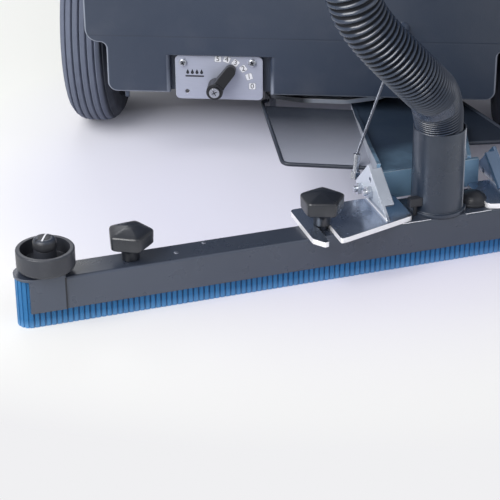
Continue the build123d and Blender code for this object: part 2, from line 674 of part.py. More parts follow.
with BuildPart() as tank_lid:
    with BuildSketch(Plane.XY.offset(LID_BOTTOM)):
        with Locations((0, TANK_MID)):
            RectangleRounded(2 * TANK_HALF, TANK_LENGTH, 46)
    extrude(amount=LID_TOP - LID_BOTTOM, taper=8)
    fillet(tank_lid.faces().sort_by(Axis.Z)[-1].edges(), 16)
    with BuildSketch(Plane.XY.offset(LID_BOTTOM)):
        with Locations((0, TANK_MID)):
            RectangleRounded(2 * TANK_HALF - 28, TANK_LENGTH - 28, 34)
    extrude(amount=26, taper=8, mode=Mode.SUBTRACT)
    # Shallow tray on top, with a moulded rim
    with BuildSketch(Plane.XY.offset(LID_TOP)):
        with Locations((0, TANK_MID + 10)):
            RectangleRounded(300, 420, 40)
    extrude(amount=-6, taper=12, mode=Mode.SUBTRACT)
    # Hinge knuckles at the front edge
    for x in (-LID_HINGE_X, LID_HINGE_X):
        with Locations((x, LID_HINGE_Y - 8, LID_HINGE_Z)):
            Box(40, 18, 9)
        with Locations((x, LID_HINGE_Y, LID_HINGE_Z)):
            Cylinder(8, 40, rotation=(0, 90, 0))
            Cylinder(LID_PIN_R + FIT, 60, rotation=(0, 90, 0), mode=Mode.SUBTRACT)
keep("tank_lid", tank_lid)

# Control console behind the recovery tank, with its sloped panel
PANEL_HIGH = (-192.0, 1000.0)
PANEL_LOW = (-336.0, 944.0)
BAIL_X = 118.0
BAIL_PIVOT = (-322.0, 968.0)
BAIL_BACK = (-412.0, 958.0)
BAIL_R = 5.0
BAIL_PIN_R = 4.0

with BuildPart() as console:
    with BuildSketch(Plane.YZ):
        with BuildLine():
            Polyline((TANK_REAR - 0.6, 632), (TANK_REAR - 3, 840), (-172, 992), PANEL_HIGH, PANEL_LOW,
                     (-338, 918), (-244, 858), (-200, 770), (-180, 632), close=True)
        make_face()
    extrude(amount=CONSOLE_HALF, both=True)
    fillet(console.edges().filter_by(Axis.X).group_by(Axis.Z)[-1], 6)
    fillet(console.faces().filter_by(Axis.X).edges(), 9)
    # Lugs for the presence bar below the panel's near edge
    for x in (-BAIL_X, BAIL_X):
        for cheek in (-10.5, 10.5):
            with BuildSketch(Plane.YZ.offset(x + cheek - 2)):
                with Locations(BAIL_PIVOT):
                    Circle(9)
                with BuildLine():
                    Polyline((BAIL_PIVOT[0] - 9, BAIL_PIVOT[1]), (BAIL_PIVOT[0] + 9, BAIL_PIVOT[1]),
                             (BAIL_PIVOT[0] + 9, 935), (BAIL_PIVOT[0] - 9, 930), close=True)
                make_face()
            extrude(amount=4)
        with Locations((x, *BAIL_PIVOT)):
            Cylinder(BAIL_PIN_R, 40, rotation=(0, 90, 0), mode=Mode.SUBTRACT)
keep("console", console)

# Plane of the sloped panel: X right, Y up the slope, facing the operator
PANEL_RISE = Vector(0, PANEL_HIGH[0] - PANEL_LOW[0], PANEL_HIGH[1] - PANEL_LOW[1]).normalized()
PANEL_OUT = Vector(1, 0, 0).cross(PANEL_RISE)
PANEL_MID = Vector(0, (PANEL_HIGH[0] + PANEL_LOW[0]) / 2, (PANEL_HIGH[1] + PANEL_LOW[1]) / 2)
PANEL = Plane(origin=PANEL_MID, x_dir=(1, 0, 0), z_dir=PANEL_OUT)
PANEL_THICK = 4.0
KEY_X = -105.0
KEY_STEM_R = 4.0
BUTTON_XS = (40.0, 100.0)
BUTTON_R = 13.0
BUTTON_TRAVEL = 3.0
GAUGE_X = -30.0

with BuildPart() as control_panel:
    with BuildSketch(PANEL):
        RectangleRounded(300, 96, 12)
        with Locations(*[(x, 0) for x in BUTTON_XS]):
            Circle(BUTTON_R + GAP, mode=Mode.SUBTRACT)
        with Locations((KEY_X, 0)):
            Circle(KEY_STEM_R + FIT, mode=Mode.SUBTRACT)
    extrude(amount=PANEL_THICK)
    # Raised bezel of the battery gauge
    with BuildSketch(PANEL.offset(PANEL_THICK)):
        with Locations((GAUGE_X, 10)):
            RectangleRounded(60, 30, 5)
            RectangleRounded(50, 20, 3, mode=Mode.SUBTRACT)
    extrude(amount=3)
keep("control_panel", control_panel)


def push_button(x):
    with BuildPart() as button:
        with BuildSketch(PANEL.offset(BUTTON_TRAVEL + GAP)):
            with Locations((x, 0)):
                Circle(BUTTON_R)
        extrude(amount=PANEL_THICK + 2)
        fillet(button.faces().sort_by(Axis.Z)[-1].edges(), 2)
    return button


keep("brush_button", push_button(BUTTON_XS[0]))
keep("vacuum_button", push_button(BUTTON_XS[1]))

with BuildPart() as key_switch:
    with BuildSketch(PANEL.offset(PANEL_THICK + GAP)):
        with Locations((KEY_X, 0)):
            Circle(12)
    extrude(amount=6)
    with BuildSketch(PANEL.offset(GAP)):
        with Locations((KEY_X, 0)):
            Circle(KEY_STEM_R)
    extrude(amount=PANEL_THICK)
    with BuildSketch(PANEL.offset(PANEL_THICK + 6)):
        with Locations((KEY_X, 0)):
            Rectangle(5, 22)
    extrude(amount=16)
keep("key_switch", key_switch)

# Handle: a bent tube from the console's sides, with two grips and a presence bar
HANDLE_X = 150.0
HANDLE_FRONT = (-318.0, 924.0)
HANDLE_BACK = (-424.0, 912.0)
HANDLE_BEND = 55.0

with BuildPart() as handle_bar:
    with BuildLine():
        FilletPolyline(
            (-HANDLE_X, *HANDLE_FRONT),
            (-HANDLE_X, *HANDLE_BACK),
            (HANDLE_X, *HANDLE_BACK),
            (HANDLE_X, *HANDLE_FRONT),
            radius=HANDLE_BEND,
        )
    with BuildSketch(Plane(origin=(-HANDLE_X, *HANDLE_FRONT),
                           z_dir=(0, HANDLE_BACK[0] - HANDLE_FRONT[0], HANDLE_BACK[1] - HANDLE_FRONT[1]))):
        Circle(HANDLE_R)
    sweep()
    add(console.part, mode=Mode.SUBTRACT)
keep("handle_bar", handle_bar)

GRIP_R = 17.0

with BuildPart() as grips:
    for side in (-1, 1):
        with BuildSketch(Plane(origin=(side * 12, *HANDLE_BACK), z_dir=(side, 0, 0))):
            Circle(GRIP_R)
            Circle(HANDLE_R, mode=Mode.SUBTRACT)
        extrude(amount=78)
    outer = grips.edges().filter_by(GeomType.CIRCLE).filter_by(lambda edge: edge.radius > HANDLE_R + 1)
    fillet(outer, 2)
keep("grips", grips)

with BuildPart() as presence_bar:
    with BuildLine():
        FilletPolyline((-BAIL_X, *BAIL_PIVOT), (-BAIL_X, *BAIL_BACK), (BAIL_X, *BAIL_BACK),
                       (BAIL_X, *BAIL_PIVOT), radius=30)
    with BuildSketch(Plane(origin=(-BAIL_X, *BAIL_PIVOT),
                           z_dir=(0, BAIL_BACK[0] - BAIL_PIVOT[0], BAIL_BACK[1] - BAIL_PIVOT[1]))):
        Circle(BAIL_R)
    sweep()
    for x in (-BAIL_X, BAIL_X):
        with Locations((x, *BAIL_PIVOT)):
            Cylinder(9, 12, rotation=(0, 90, 0))
            Cylinder(BAIL_PIN_R + FIT, 30, rotation=(0, 90, 0), mode=Mode.SUBTRACT)
keep("presence_bar", presence_bar)

# Hand levers on the console's sides: squeegee lift on the right, brush deck on the left
LEVER_PIVOT = (-232.0, 905.0)
LEVER_TIP = (-262.0, 1012.0)
LEVER_X = CONSOLE_HALF + 8
LEVER_KNOB_R = 15.0
LEVER_KNOB_X = CONSOLE_HALF + LEVER_KNOB_R + 2
LEVER_PIN_R = 6.0


def hand_lever(side):
    with BuildPart() as lever:
        with Locations((side * LEVER_KNOB_X, *LEVER_TIP)):
            Cylinder(LEVER_KNOB_R, 2 * LEVER_KNOB_R, rotation=(0, 90, 0))
        fillet(lever.edges().filter_by(GeomType.CIRCLE), LEVER_KNOB_R - 4)
        with BuildSketch(Plane.YZ.offset(side * LEVER_X - 4)):
            with Locations(LEVER_PIVOT):
                Circle(17)
            with BuildLine():
                Polyline((LEVER_PIVOT[0] - 12, LEVER_PIVOT[1]), (LEVER_TIP[0] - 6, LEVER_TIP[1]),
                         (LEVER_TIP[0] + 6, LEVER_TIP[1]), (LEVER_PIVOT[0] + 12, LEVER_PIVOT[1]), close=True)
            make_face()
            with Locations(LEVER_PIVOT):
                Circle(LEVER_PIN_R + FIT, mode=Mode.SUBTRACT)
        extrude(amount=8)
    return lever


keep("squeegee_lever", hand_lever(1))
keep("deck_lever", hand_lever(-1))

# Pins of the lid, the presence bar and the two hand levers
with BuildPart() as hinge_pins:
    for x in (-LID_HINGE_X, LID_HINGE_X):
        cylinder_between((x - 31, LID_HINGE_Y, LID_HINGE_Z), (x + 31, LID_HINGE_Y, LID_HINGE_Z), LID_PIN_R)
    for x in (-BAIL_X, BAIL_X):
        cylinder_between((x - 12.5, *BAIL_PIVOT), (x + 12.5, *BAIL_PIVOT), BAIL_PIN_R)
    for side in (-1, 1):
        face = side * CONSOLE_HALF
        cylinder_between((face, *LEVER_PIVOT), (face + side * 13, *LEVER_PIVOT), LEVER_PIN_R)
        cylinder_between((face + side * 12.6, *LEVER_PIVOT), (face + side * 17, *LEVER_PIVOT), 11)
        cylinder_between((face, *LEVER_PIVOT), (face + side * 3.4, *LEVER_PIVOT), 13)
keep("hinge_pins", hinge_pins)

# Water dial in the apron's notch: plate, spindle with its screw head, and lever
DIAL_LEFT = -127.2
DIAL_RIGHT = -38.0
DIAL_BOTTOM = 77.4
DIAL_HIGH = 124.3
DIAL_BACK = -REAR_Y - NOTCH_DEPTH + DIAL_STAND
DIAL_THICK = 2.5
DIAL_FACE = DIAL_BACK + DIAL_THICK
DIAL_HOLE = (-115.3, 85.5)
DIAL_HUB_R = 8.5
DIAL_HUB_LENGTH = 18.0
SPINDLE_R = 3.5
SCREW_R = 4.2
SCREW_HEIGHT = 2.4
POINTER_DEG = 50.5
POINTER_REACH = 29.0
POINTER_TIP_R = 5.5
POINTER_GAP = 1.2

with BuildPart() as dial_plate:
    with BuildSketch(Plane.XZ.offset(DIAL_BACK)):
        with Locations(((DIAL_LEFT + DIAL_RIGHT) / 2, (DIAL_BOTTOM + DIAL_HIGH) / 2)):
            RectangleRounded(DIAL_RIGHT - DIAL_LEFT, DIAL_HIGH - DIAL_BOTTOM, 5)
        with Locations(DIAL_HOLE):
            Circle(2.2, mode=Mode.SUBTRACT)
    extrude(amount=DIAL_THICK)
keep("dial_plate", dial_plate)

with BuildPart() as dial_fasteners:
    with BuildSketch(Plane.XZ.offset(DIAL_FACE)):
        with Locations(*DIAL_SCREWS):
            Circle(SCREW_R)
    extrude(amount=SCREW_HEIGHT)
    fillet(dial_fasteners.faces().sort_by(Axis.Y)[:2].edges(), 1.5)
    with BuildSketch(Plane.XZ.offset(DIAL_FACE)):
        with Locations((DIAL_X, DIAL_Z)):
            Circle(SPINDLE_R)
    extrude(amount=DIAL_HUB_LENGTH + 1)
    with BuildSketch(Plane.XZ.offset(DIAL_FACE + DIAL_HUB_LENGTH + 0.8)):
        with Locations((DIAL_X, DIAL_Z)):
            Circle(5.2)
    extrude(amount=2)
keep("dial_fasteners", dial_fasteners)

with BuildPart() as dial_lever:
    ray = (cos(radians(POINTER_DEG)), 0, sin(radians(POINTER_DEG)))
    across = (-sin(radians(POINTER_DEG)), 0, cos(radians(POINTER_DEG)))
    spindle_foot = (DIAL_X, -DIAL_FACE, DIAL_Z)
    tip_start = POINTER_REACH - POINTER_TIP_R
    # Pointer: a bar with a round tip, cut to a wedge that rises from the plate to the hub's end
    with BuildSketch(Plane(origin=spindle_foot, x_dir=ray, z_dir=(0, -1, 0))):
        with Locations((tip_start / 2, 0)):
            Rectangle(tip_start, 2 * POINTER_TIP_R)
        with Locations((tip_start, 0)):
            Circle(POINTER_TIP_R)
    extrude(amount=DIAL_HUB_LENGTH)
    with BuildSketch(Plane(origin=spindle_foot, x_dir=ray, z_dir=across)):
        with BuildLine():
            Polyline((0, -DIAL_HUB_LENGTH), (DIAL_HUB_R, 3 - DIAL_HUB_LENGTH), (POINTER_REACH, -7),
                     (POINTER_REACH, -POINTER_GAP), (0, -POINTER_GAP), close=True)
        make_face()
    extrude(amount=POINTER_TIP_R, both=True, mode=Mode.INTERSECT)
    with BuildSketch(Plane.XZ.offset(DIAL_FACE + GAP)):
        with Locations((DIAL_X, DIAL_Z)):
            Circle(DIAL_HUB_R)
    extrude(amount=DIAL_HUB_LENGTH - GAP)
    with BuildSketch(Plane.XZ.offset(DIAL_FACE)):
        with Locations((DIAL_X, DIAL_Z)):
            Circle(SPINDLE_R + FIT)
    extrude(amount=DIAL_HUB_LENGTH + 2, mode=Mode.SUBTRACT)
keep("dial_lever", dial_lever)

# Swing plate: hangs on the pivot pin under the chassis and carries the lift hinge with its pin
SWING_BOTTOM = 73.0
SWING_TOP = 77.5
BOSS_BOTTOM = 72.5
BOSS_TOP = RAIL_BOTTOM - GAP
LUG_BOTTOM = 58.0
LUG_LENGTH = 14.0
LUG_INNER = ((-7.0, 0.0), (51.0, 58.0))
LUG_OUTER = ((-87.0, -80.0), (80.0, 87.0))
HINGE_PIN_ENDS = (-9.0, 60.0)

with BuildPart() as swing_plate:
    with BuildSketch(SQUEEGEE.offset(SWING_BOTTOM)):
        with BuildLine():
            Polyline((-19, 193), (-61, 212), (-86, 232), (-86, 260), (-40, ARM_REACH), (40, ARM_REACH),
                     (86, 260), (86, 232), (61, 212), (19, 193), close=True)
        make_face()
    extrude(amount=SWING_TOP - SWING_BOTTOM)
    fillet(swing_plate.edges().filter_by(Axis.Z), 12)
    with BuildSketch(SQUEEGEE.offset(BOSS_BOTTOM)):
        with Locations((0, ARM_REACH)):
            Circle(24)
    extrude(amount=BOSS_TOP - BOSS_BOTTOM)
    with BuildSketch(SQUEEGEE.offset(LUG_BOTTOM)):
        for u_start, u_end in LUG_INNER + LUG_OUTER:
            with Locations(((u_start + u_end) / 2, HINGE_V)):
                Rectangle(u_end - u_start, LUG_LENGTH)
    extrude(amount=SWING_BOTTOM - LUG_BOTTOM)
    with BuildSketch(SQUEEGEE.offset(BOSS_BOTTOM)):
        with Locations((0, ARM_REACH)):
            Circle(PIVOT_PIN_R + FIT)
    extrude(amount=BOSS_TOP - BOSS_BOTTOM, mode=Mode.SUBTRACT)
    for u_start, u_end in LUG_OUTER:
        with BuildSketch(upright(u_start)):
            with Locations((HINGE_V, HINGE_Z)):
                Circle(ROD_R + FIT)
        extrude(amount=u_end - u_start, mode=Mode.SUBTRACT)
    # Hinge pin, pressed through the inner lugs
    pin_left, pin_right = [on_squeegee(u, HINGE_V, HINGE_Z) for u in HINGE_PIN_ENDS]
    cylinder_between(pin_left, pin_right, HINGE_PIN_R)
keep("swing_plate", swing_plate)

# Swing arm: a skewed web between two folded flanges, with a knuckle and a cross plate
WEB_BOTTOM = 63.0
WEB_THICK = 4.0
CROSS_FRONT = 24.0
CROSS_THICK = 4.0
CROSS_BOTTOM = 48.0
CROSS_TOP = 76.0
KNUCKLE_R = 7.0
FOLD_BULGE = 0.4
WEB_LEFT = ((-53.0, CROSS_FRONT), (-9.0, 206.0))
WEB_RIGHT = ((43.0, CROSS_FRONT), (75.0, 109.0))
LEFT_FLANGE = ((0, 0), (174, 0), (174, 5), (150, 5.5), (120, 10), (60, 14), (0, 21))
RIGHT_FLANGE = ((0, 0), (88, 0), (88, 10), (0, 15))


def flange(edge, profile, inward):
    """A flange folded up along an edge of the web, which it overhangs a little outside."""
    start, end = [on_squeegee(u, v, WEB_BOTTOM) for u, v in edge]
    run = end - start
    outside = Plane(origin=start, x_dir=run, z_dir=run.cross(Vector(0, 0, 1))).offset(-inward * FOLD_BULGE)
    with BuildSketch(outside) as fold:
        with BuildLine():
            Polyline(*profile, close=True)
        make_face()
    extrude(fold.sketch, amount=inward * WEB_THICK)


with BuildPart() as swing_arm:
    with BuildSketch(SQUEEGEE.offset(WEB_BOTTOM)):
        with BuildLine():
            Polyline(*WEB_RIGHT, (49, 200), (49, HINGE_V), (2.5, HINGE_V), (2.5, 236), *reversed(WEB_LEFT),
                     close=True)
        make_face()
    extrude(amount=WEB_THICK)
    flange(WEB_LEFT, LEFT_FLANGE, 1)
    flange(WEB_RIGHT, RIGHT_FLANGE, -1)
    with BuildSketch(SQUEEGEE.offset(CROSS_BOTTOM)):
        with Locations((-2, CROSS_FRONT - CROSS_THICK / 2)):
            Rectangle(104, CROSS_THICK)
    extrude(amount=CROSS_TOP - CROSS_BOTTOM)
    for radius, mode in ((KNUCKLE_R, Mode.ADD), (HINGE_PIN_R + FIT, Mode.SUBTRACT)):
        with BuildSketch(upright(2)):
            with Locations((HINGE_V, HINGE_Z)):
                Circle(radius)
        extrude(amount=47, mode=mode)
keep("swing_arm", swing_arm)

# Brackets on the squeegee: base plates with an open slot, and gussets with a folded rear edge
GUSSET_TOP = 88.0
GUSSET_APEX_V = 17.0
GUSSET_REAR_V = -34.0
GUSSET_FRONT_V = 46.0
FOLD_WIDTH = 9.0
SLOT_WIDTH = 12.0
SLOT_LENGTH = 60.0
PLATE_TAIL = -45.0
PLATE_ROUND = 5.0
MOUTH_ROUND = 2.0

with BuildPart() as squeegee_brackets:
    for side in (-1, 1):
        with BuildSketch(SQUEEGEE.offset(BAR_TOP)) as plate:
            with BuildLine():
                Polyline((side * 141, 20), (side * 141, -43), (side * 133, -54), (side * 110, -50.5),
                         (side * 37.6, -28.4), (side * 37.6, 20), close=True)
            make_face()
            with Locations((side * KNOB_INNER_U, KNOB_V - 20)):
                SlotOverall(SLOT_LENGTH, SLOT_WIDTH, rotation=90, mode=Mode.SUBTRACT)
            mouth = [corner for corner in plate.vertices() if corner.Y < PLATE_TAIL]
            fillet(mouth, MOUTH_ROUND)
            outer = [corner for corner in plate.vertices()
                     if corner.Y > 0 or PLATE_TAIL < corner.Y < KNOB_V - SLOT_WIDTH / 2]
            fillet([corner for corner in outer if abs(corner.Y - PLATE_TAIL) > 1], PLATE_ROUND)
        extrude(amount=PLATE_THICK)
        # Gusset plate
        inner_u = side * GUSSET_U
        with BuildSketch(upright(inner_u)):
            with BuildLine():
                Polyline((GUSSET_REAR_V, PLATE_TOP), (GUSSET_APEX_V, GUSSET_TOP), (GUSSET_FRONT_V, 60),
                         (GUSSET_FRONT_V, PLATE_TOP), close=True)
            make_face()
            with Locations((11, 75), (35, 55)):
                Circle(2.6, mode=Mode.SUBTRACT)
        extrude(amount=side * GUSSET_THICK)
        # Fold along the rear edge, towards the middle
        with BuildSketch(upright(inner_u)):
            with BuildLine():
                Polyline((GUSSET_REAR_V + 14, PLATE_TOP + 10), (GUSSET_APEX_V - 4, GUSSET_TOP - 3),
                         (GUSSET_APEX_V - 1, GUSSET_TOP - 6), (GUSSET_REAR_V + 17, PLATE_TOP + 7), close=True)
            make_face()
        extrude(amount=-side * FOLD_WIDTH)
keep("squeegee_brackets", squeegee_brackets)

# Wings beside the swing arm: a sheet in a bent rod, whose front end turns on the lift hinge's axis
SHEET_THICK = 1.6
SHEET_FRONT = 232.0
ROD_BENDS = (9.0, 6.0)
LEFT_ROD = ((-44.2, 52.8), (-123.0, 90.6), (-93.0, HINGE_V), (-79.0, HINGE_V))
RIGHT_ROD = ((61.0, 78.4), (115.3, 65.6), (93.0, HINGE_V), (79.0, HINGE_V))
LEFT_TAIL = ((-95.5, SHEET_FRONT), (-10.0, 190.0))
RIGHT_TAIL = ((94.6, SHEET_FRONT), (48.0, 198.0), (70.0, 109.0))

with BuildPart() as stay_rods:
    for corners in (LEFT_ROD, RIGHT_ROD):
        route = [on_squeegee(u, v, HINGE_Z) for u, v in corners]
        with BuildLine() as rod_line:
            FilletPolyline(*route, radius=list(ROD_BENDS))
        with BuildSketch(Plane(origin=route[0], z_dir=route[1] - route[0])):
            Circle(ROD_R)
        sweep(path=rod_line.wires()[0])
    add(swing_arm.part, mode=Mode.SUBTRACT)
keep("stay_rods", stay_rods)

# Bolts of the brackets, and the cable's ferrule with its nut, clamped round the left rod
BOLT_SPOTS = ((32.0, 57.0), (8.0, 64.0))
BOLT_HEIGHT = 5.0
FERRULE_FOOT = (-59.7, 60.3, HINGE_Z)
FERRULE_R = 3.4
NUT_R = 5.0
NUT_DROP = 4.0
NUT_HEIGHT = 7.0

with BuildPart() as bracket_fasteners:
    for side in (-1, 1):
        with BuildSketch(upright(side * (GUSSET_U + GUSSET_THICK))):
            with Locations(*BOLT_SPOTS):
                RegularPolygon(6, 6, rotation=30)
        extrude(amount=side * BOLT_HEIGHT)
        with BuildSketch(upright(side * (GUSSET_U + GUSSET_THICK + BOLT_HEIGHT))):
            with Locations(*BOLT_SPOTS):
                Circle(3)
        extrude(amount=side * 3)
    foot = on_squeegee(*FERRULE_FOOT)
    ferrule_way = (FERRULE_TOP - foot).normalized()
    cylinder_between(foot - ferrule_way * NUT_DROP, FERRULE_TOP, FERRULE_R)
    with BuildSketch(Plane(origin=foot - ferrule_way * NUT_DROP, z_dir=-ferrule_way)):
        RegularPolygon(NUT_R, 6)
    extrude(amount=NUT_HEIGHT)
    add(stay_rods.part, mode=Mode.SUBTRACT)
keep("bracket_fasteners", bracket_fasteners)

with BuildPart() as wing_sheets:
    with BuildSketch(SQUEEGEE.offset(HINGE_Z - SHEET_THICK / 2)) as wings:
        for rod, tail in ((LEFT_ROD, LEFT_TAIL), (RIGHT_ROD, RIGHT_TAIL)):
            with BuildLine():
                Polyline(*rod[:2], *tail, close=True)
            make_face()
        bends = (LEFT_ROD[1], RIGHT_ROD[1])
        fillet([corner for corner in wings.vertices() if (corner.X, corner.Y) in bends], ROD_BENDS[0])
    extrude(amount=SHEET_THICK)
    for neighbour in (stay_rods, swing_arm, bracket_fasteners):
        add(neighbour.part, mode=Mode.SUBTRACT)
keep("wing_sheets", wing_sheets)

# Squeegee bar: a channel over the two blades, with a suction box in the middle
CHANNEL_REAR = -30.0
CHANNEL_FRONT = -6.0
BOX_HALF = 48.0
BOX_FRONT = 18.0
BOX_BOTTOM = 22.0
SUCTION_R = 19.0

with BuildPart() as squeegee_bar:
    with BuildSketch(upright(-BAR_HALF)):
        with BuildLine():
            Polyline((BAR_REAR, BAR_BOTTOM), (BAR_REAR, BAR_TOP), (BAR_FRONT, BAR_TOP),
                     (BAR_FRONT, BAR_BOTTOM), (CHANNEL_FRONT, BAR_BOTTOM), (CHANNEL_FRONT, BLADE_TOP),
                     (CHANNEL_REAR, BLADE_TOP), (CHANNEL_REAR, BAR_BOTTOM), close=True)
        make_face()
    extrude(amount=2 * BAR_HALF)
    rear_top = squeegee_bar.edges().filter_by(Axis((0, 0, 0), ALONG)).group_by(Axis.Z)[-1]
    fillet(rear_top, 2.5)
    with BuildSketch(SQUEEGEE.offset(BOX_BOTTOM)):
        with Locations((0, (BAR_FRONT + BOX_FRONT) / 2)):
            Rectangle(2 * BOX_HALF, BOX_FRONT - BAR_FRONT)
    extrude(amount=BAR_TOP - BOX_BOTTOM)
    with BuildSketch(SQUEEGEE.offset(BOX_BOTTOM + 4)):
        with Locations((CUFF_U, CUFF_V)):
            Circle(SUCTION_R)
    extrude(amount=BAR_TOP - BOX_BOTTOM, mode=Mode.SUBTRACT)
keep("squeegee_bar", squeegee_bar)

# Blades: the rear one is ribbed and wraps round both ends, the front one is plain
END_U = 396.0
END_V = (CHANNEL_REAR + CHANNEL_FRONT) / 2
END_R = (CHANNEL_FRONT - CHANNEL_REAR) / 2
END_RIBS = 8
BACK_RIBS = int(2 * END_U / RIB_PITCH)
RIB_STEPS = ((0.0, 0.0), (0.62, 0.0), (0.72, RIB_DEPTH), (0.92, RIB_DEPTH))
END_TOP = 47.0


def ribbed_outline():
    """Outside of the rear blade from its right front end round to its left front end."""
    points = []
    for end, first, ribs in ((1, 90.0, END_RIBS), (0, 0.0, BACK_RIBS), (-1, 270.0, END_RIBS)):
        for rib in range(ribs):
            for share, depth in RIB_STEPS:
                way = (rib + share) / ribs
                if end == 0:
                    points.append((END_U - 2 * END_U * way, CHANNEL_REAR + depth))
                else:
                    turn = radians(first - 180 * way)
                    reach = END_R - depth
                    points.append((end * END_U + reach * cos(turn), END_V + reach * sin(turn)))
    points.append((-END_U, CHANNEL_FRONT))
    return points


with BuildPart() as rear_blade:
    inner_r = END_R - BLADE_THICK
    with BuildSketch(SQUEEGEE):
        with BuildLine():
            Polyline(*ribbed_outline())
            Line((-END_U, CHANNEL_FRONT), (-END_U, END_V + inner_r))
            ThreePointArc((-END_U, END_V + inner_r), (-END_U - inner_r, END_V), (-END_U, END_V - inner_r))
            Line((-END_U, END_V - inner_r), (END_U, END_V - inner_r))
            ThreePointArc((END_U, END_V - inner_r), (END_U + inner_r, END_V), (END_U, END_V + inner_r))
            Line((END_U, END_V + inner_r), (END_U, CHANNEL_FRONT))
        make_face()
    extrude(amount=END_TOP)
    # Between the end caps the blade is lower, under the bar's channel
    with BuildSketch(SQUEEGEE.offset(BLADE_TOP)):
        with Locations((0, END_V)):
            Rectangle(2 * BAR_HALF + 2, 4 * END_R)
    extrude(amount=END_TOP, mode=Mode.SUBTRACT)
keep("rear_blade", rear_blade)

with BuildPart() as front_blade:
    with BuildSketch(SQUEEGEE):
        with Locations((0, CHANNEL_FRONT - BLADE_THICK / 2)):
            Rectangle(2 * END_U, BLADE_THICK)
    extrude(amount=BLADE_TOP)
keep("front_blade", front_blade)

CAP_TOP = 49.5
CAP_END = 409.0
CAP_ROUND = 15.0
CAP_WALL_END = 398.0

with BuildPart() as end_caps:
    for side in (-1, 1):
        arc_u = side * (CAP_END - CAP_ROUND)
        rear_corner = (side * BAR_HALF, BAR_REAR - 1)
        front_corner = (side * BAR_HALF, BAR_FRONT + 1)
        with BuildSketch(SQUEEGEE.offset(END_TOP)):
            with BuildLine():
                Line(rear_corner, (arc_u, BAR_REAR - 1))
                ThreePointArc((arc_u, BAR_REAR - 1), (side * CAP_END, END_V), (arc_u, BAR_FRONT + 1))
                Polyline((arc_u, BAR_FRONT + 1), front_corner, rear_corner)
            make_face()
        extrude(amount=CAP_TOP - END_TOP)
        walls = (
            (BAR_REAR - 1, CHANNEL_REAR - 0.2, CAP_WALL_END),
            (CHANNEL_REAR + BLADE_THICK + 0.2, CHANNEL_FRONT - BLADE_THICK - 0.2, END_U),
            (CHANNEL_FRONT + 0.2, BAR_FRONT + 1, CAP_WALL_END),
        )
        with BuildSketch(SQUEEGEE.offset(BAR_BOTTOM)):
            for v_start, v_end, u_end in walls:
                with Locations((side * (BAR_HALF + u_end) / 2, (v_start + v_end) / 2)):
                    Rectangle(u_end - BAR_HALF, v_end - v_start)
        extrude(amount=END_TOP - BAR_BOTTOM)
keep("end_caps", end_caps)

# Studs for the star knobs, and domed slotted shoulder screws for the guide rollers
STUD_R = 4.0
KNOB_HEIGHT = 31.5
COLLAR_R = 12.0
COLLAR_TOP = 51.5
ROLLER_BOTTOM = COLLAR_TOP + GAP
ROLLER_TOP = 71.0
CUP_FLOOR = 57.0
CUP_WALL = 4.0
HUB_R = 10.0
SCREW_HEAD_R = 10.3
SCREW_TOP = 81.0
KNOB_SPOTS = (("left_outer", -KNOB_OUTER_U, BAR_TOP), ("left_inner", -KNOB_INNER_U, PLATE_TOP),
              ("right_inner", KNOB_INNER_U, PLATE_TOP), ("right_outer", KNOB_OUTER_U, BAR_TOP))

with BuildPart() as squeegee_studs:
    for u in (-ROLLER_U, ROLLER_U):
        head_foot = on_squeegee(u, END_V, ROLLER_TOP + GAP)
        cylinder_between(head_foot, on_squeegee(u, END_V, SCREW_TOP), SCREW_HEAD_R)
    fillet(squeegee_studs.faces().sort_by(Axis.Z)[-2:].edges(), 4)
    for u in (-ROLLER_U, ROLLER_U):
        cylinder_between(on_squeegee(u, END_V, CAP_TOP), on_squeegee(u, END_V, COLLAR_TOP), COLLAR_R)
        cylinder_between(on_squeegee(u, END_V, CAP_TOP), on_squeegee(u, END_V, ROLLER_TOP + 2), STUD_R)
        with BuildSketch(SQUEEGEE.offset(SCREW_TOP)):
            with Locations((u, END_V)):
                Rectangle(3 * SCREW_HEAD_R, 2, rotation=20)
        extrude(amount=-2, mode=Mode.SUBTRACT)
    for spot, u, seat in KNOB_SPOTS:
        stud_top = seat + KNOB_HEIGHT - 6
        cylinder_between(on_squeegee(u, KNOB_V, BAR_TOP), on_squeegee(u, KNOB_V, stud_top), STUD_R)
keep("squeegee_studs", squeegee_studs)

KNOB_LOBES = 5
LOBE_R = 12.0
LOBE_REACH = 10.5
FIRST_LOBE_DEG = -105.0
KNOB_PROFILE = ((0, 0), (8.5, 0), (10, 8), (13.5, 13.5), (23, 17), (23, 27), (18.5, 29.6), (10, 31.2),
                (4, KNOB_HEIGHT), (0, KNOB_HEIGHT))


def star_knob(u, seat):
    """A knob of five broad lobes, domed on top and tapered below, bored blind for its stud."""
    foot = on_squeegee(u, KNOB_V, seat + GAP)
    with BuildPart() as knob:
        with BuildSketch(SQUEEGEE.offset(seat + GAP)):
            with Locations((u, KNOB_V)):
                with PolarLocations(LOBE_REACH, KNOB_LOBES, start_angle=FIRST_LOBE_DEG):
                    Circle(LOBE_R)
        extrude(amount=KNOB_HEIGHT)
        with BuildSketch(Plane(origin=foot, x_dir=ALONG, z_dir=(ALONG[1], -ALONG[0], 0))):
            with BuildLine():
                Polyline(*KNOB_PROFILE, close=True)
            make_face()
        revolve(axis=Axis(foot, (0, 0, 1)), mode=Mode.INTERSECT)
        with BuildSketch(SQUEEGEE.offset(seat)):
            with Locations((u, KNOB_V)):
                Circle(STUD_R + FIT)
        extrude(amount=KNOB_HEIGHT - 5, mode=Mode.SUBTRACT)
    return knob


for spot, u, seat in KNOB_SPOTS:
    keep(spot + "_knob", star_knob(u, seat))


